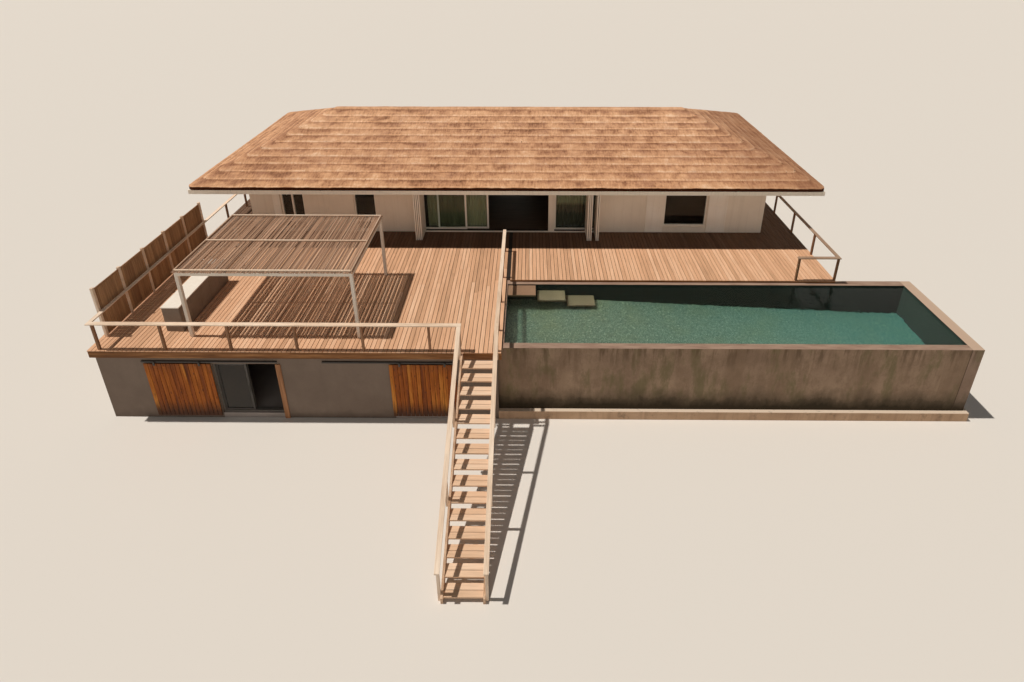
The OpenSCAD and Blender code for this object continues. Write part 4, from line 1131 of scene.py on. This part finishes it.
# %% Hang the curtains
linen = Finish("olive_curtain_cloth", 0.9)
linen.shader.inputs["Sheen Weight"].default_value = 0.25
weave_space = {"Vector": linen.place, "Scale": 160.0}
weaves = [
    linen.node("ShaderNodeTexWave", weave_space, wave_type="BANDS", bands_direction=way)
    for way in "XZ"
]
threads = linen.by(*(weave.outputs["Fac"] for weave in weaves))
fade = linen.grain(5.0, 5.0, 0.5, 4.0, 0.6)
linen.paint(linen.mix(fade, (0.3, 0.28, 0.15), (0.44, 0.42, 0.25)))
linen.shade(linen.ramp(threads, (0.0, 0.82), (0.7, 1.0)))
# Painted shade: below about 4 m the cloth is darkened, hardly on the left curtain and strongly on
# the right one, for the shade inside the room
unshaded_top = linen.past("Z", 3.95, 4.2)
painted_shade_factor = linen.past("X", -2.2, 0.8, 1.0, 0.2)
painted_shade_factor = linen.math("MAXIMUM", painted_shade_factor, unshaded_top)
linen.shade(linen.mix(painted_shade_factor, (0.0, 0.0, 0.0), (1.0, 1.0, 1.0)))
linen.bump(threads, 0.0006)

low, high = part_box("curtains")
track = Stack(51)
TRACK_LEFT, TRACK_RIGHT, TRACK_HIGH = -5.2, 2.64, 0.022
near, far = (TRACK_LEFT, low.y + 0.03), (TRACK_RIGHT, low.y + 0.06)
track.block((*near, high.z - TRACK_HIGH), (*far, high.z), 0.5)
track.make("curtain_rail", white_steel, "white_metal", edge=0.002)

PLEAT, SWING, LEFT_ENDS, RIGHT_STARTS = 0.135, 0.032, -2.18, 0.8
for name, x0, x1, seed in (
    ("curtain_left", low.x, LEFT_ENDS, 5), ("curtain_right", RIGHT_STARTS, high.x, 8),
):
    steps = round((x1 - x0) / PLEAT) * 12
    heights = [low.z + (high.z - TRACK_HIGH - low.z) * j / 14 for j in range(15)]
    middle = (low.y + high.y) / 2
    points = []
    for z in heights:
        for i in range(steps + 1):
            x = x0 + (x1 - x0) * i / steps
            phase = 2 * math.pi * (x - x0) / PLEAT + 0.9 * soft(x, seed, 0.3 * z, 1.3)
            deep = SWING * (0.85 + 0.3 * soft(x, seed + 3, z, 0.8))
            points.append(Vector((x, middle + deep * math.sin(phase), z)))
    mesh = smooth_mesh(name, points, steps + 1)
    gone = ["curtains"] if name == "curtain_left" else []
    cloth = place(name, mesh, linen, "curtain", stands_for=gone)
    thick = cloth.modifiers.new("thick", "SOLIDIFY")
    thick.thickness = 0.002

# %% [markdown]
# ## Walls: panels and flat leaves
# The white walls are upright panels with thin open joints. Beside the windows, tall
# outer leaves lie flat on the wall, each a frame round a sunk panel.

# %% Add the wall panels and the flat leaves
window_heads, bay_head = 5.14, 5.24
openings = [(-10.96, -9.96, 2.98), (-7.84, -6.9, 2.98), (5.42, 7.25, 3.24)]
bay_left, bay_right = (corner.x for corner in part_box("sliding_frames"))
soffit_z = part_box("soffit")[0].z
deck_z = terrace_high.z
stack = Stack(61)
PANEL, SKIN = 0.86, 0.008


def panels(x0, x1, z0, z1):
    count = max(1, round((x1 - x0) / PANEL))
    wide = (x1 - x0) / count
    for i in range(count):
        left = x0 + i * wide + 0.003
        stack.block((left, front_face - SKIN, z0), (left + wide - 0.006, front_face + 0.002, z1))


foot_z, head_z = deck_z + 0.012, soffit_z - 0.004
edges = [wall_low.x] + [v for a, b, _ in openings[:2] for v in (a, b)] + [bay_left]
edges += [bay_right, *openings[2][:2], wall_high.x]
for x0, x1 in zip(edges[::2], edges[1::2]):
    panels(x0, x1, foot_z, head_z)
for a, b, foot in openings:
    panels(a, b, window_heads, head_z)
    if foot - deck_z > 0.1:
        panels(a, b, foot_z, foot)
panels(bay_left, bay_right, bay_head, head_z)
stack.make("wall_panels", white, "white_wall", edge=0.0015)

stack = Stack(62)
for x0, x1 in ((4.64, 5.41), (7.27, 8.08), (-11.27, -10.97)):
    back, front = front_face - SKIN, front_face - 0.046
    z0, z1, stile = deck_z + 0.03, soffit_z - 0.03, 0.06
    stack.block((x0, front, z0), (x0 + stile, back, z1))
    stack.block((x1 - stile, front, z0), (x1, back, z1))
    for z in (z0, (z0 + z1) / 2 - 0.05, z1 - 0.1):
        stack.block((x0 + stile, front, z), (x1 - stile, back, z + 0.1))
    near, far = (x0 + stile - 0.001, front + 0.014), (x1 - stile + 0.001, back)
    stack.block((*near, z0 + 0.05), (*far, z1 - 0.05))
stack.make("flat_leaves", white_frames, "white_frame", edge=0.002)
stack = Stack(63)
near, far = (bay_left, front_face - 0.035), (bay_right, front_face + 0.01)
stack.block((*near, deck_z + 0.004), (*far, deck_z + 0.05))
stack.make("bay_sill", white_frames, "white_frame", edge=0.004)

# %% [markdown]
# ## Small fittings
# The counter has door fronts, a sink let into the stone, and a tap. These are small,
# but they tell the eye how big the terrace is.

# %% Fit out the counter
steel = Finish("brushed_steel", 0.32, Metallic=1.0)
brushed = steel.grain(4.0, 60.0, 60.0, 4.0, 0.6)
steel.paint(steel.mix(brushed, (0.5, 0.48, 0.45), (0.66, 0.64, 0.6)))
steel.set("Roughness", steel.span(brushed, 0.3, 0.7, 0.25, 0.45))
steel.bump(brushed, 0.0002)

low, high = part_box("kitchen_counter")
top_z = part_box("kitchen_worktop")[1].z
stack = Stack(71)
doors = 5
wide = (high.y - low.y - 0.04) / doors
for i in range(doors):
    y = low.y + 0.02 + i * wide
    near, far = (high.x - 0.001, y + 0.003), (high.x + 0.014, y + wide - 0.003)
    stack.block((*near, low.z + 0.09), (*far, high.z - 0.02))
stack.make("counter_doors", counter_grey, "counter_grey", edge=0.002)
stack = Stack(72)
sink_x, sink_y = (low.x + high.x) / 2 + 0.02, high.y - 0.52
RIM = 0.004
in_x, out_x, in_y, out_y = 0.165, 0.19, 0.225, 0.25
for dx0, dx1, dy0, dy1 in (
    (-out_x, -in_x, -out_y, out_y), (in_x, out_x, -out_y, out_y), (-in_x, in_x, -out_y, -in_y),
    (-in_x, in_x, in_y, out_y),
):
    low, high = (sink_x + dx0, sink_y + dy0), (sink_x + dx1, sink_y + dy1)
    stack.block((*low, top_z - 0.001), (*high, top_z + RIM))
tap_x, tap_high, tap_reach = sink_x - 0.225, 0.26, 0.09
neck = [(tap_x, sink_y, top_z), (tap_x, sink_y, top_z + tap_high)]
for k in range(1, 9):
    a = math.pi * k / 8
    x = tap_x + tap_reach * (1 - math.cos(a))
    neck.append((x, sink_y, top_z + tap_high + tap_reach * math.sin(a)))
stack.tube(neck, 0.012, 12)
stack.tube([(tap_x, sink_y, top_z), (tap_x, sink_y, top_z + 0.03)], 0.026, 16)
stack.make("sink_and_tap", steel, "white_metal", edge=0.001)
bowl = Stack(73)
low, high = (sink_x - 0.166, sink_y - 0.226), (sink_x + 0.166, sink_y + 0.226)
bowl.block((*low, top_z - 0.001), (*high, top_z + 0.0012))
bowl.make("sink_bowl", dark_metal, "dark_metal", edge=0.0005)

# %% [markdown]
# ## Growth past the model's box
# The dressed house is measured against the model's box, and how far it grows past
# that box is printed. The dressed house may not grow out of the model's box.

# %% Measure both boxes and print the growth
seen_low, seen_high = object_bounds()
growth = (solid_low - seen_low, seen_high - solid_high)
print("grows by", [[round(v, 4) for v in side] for side in growth])
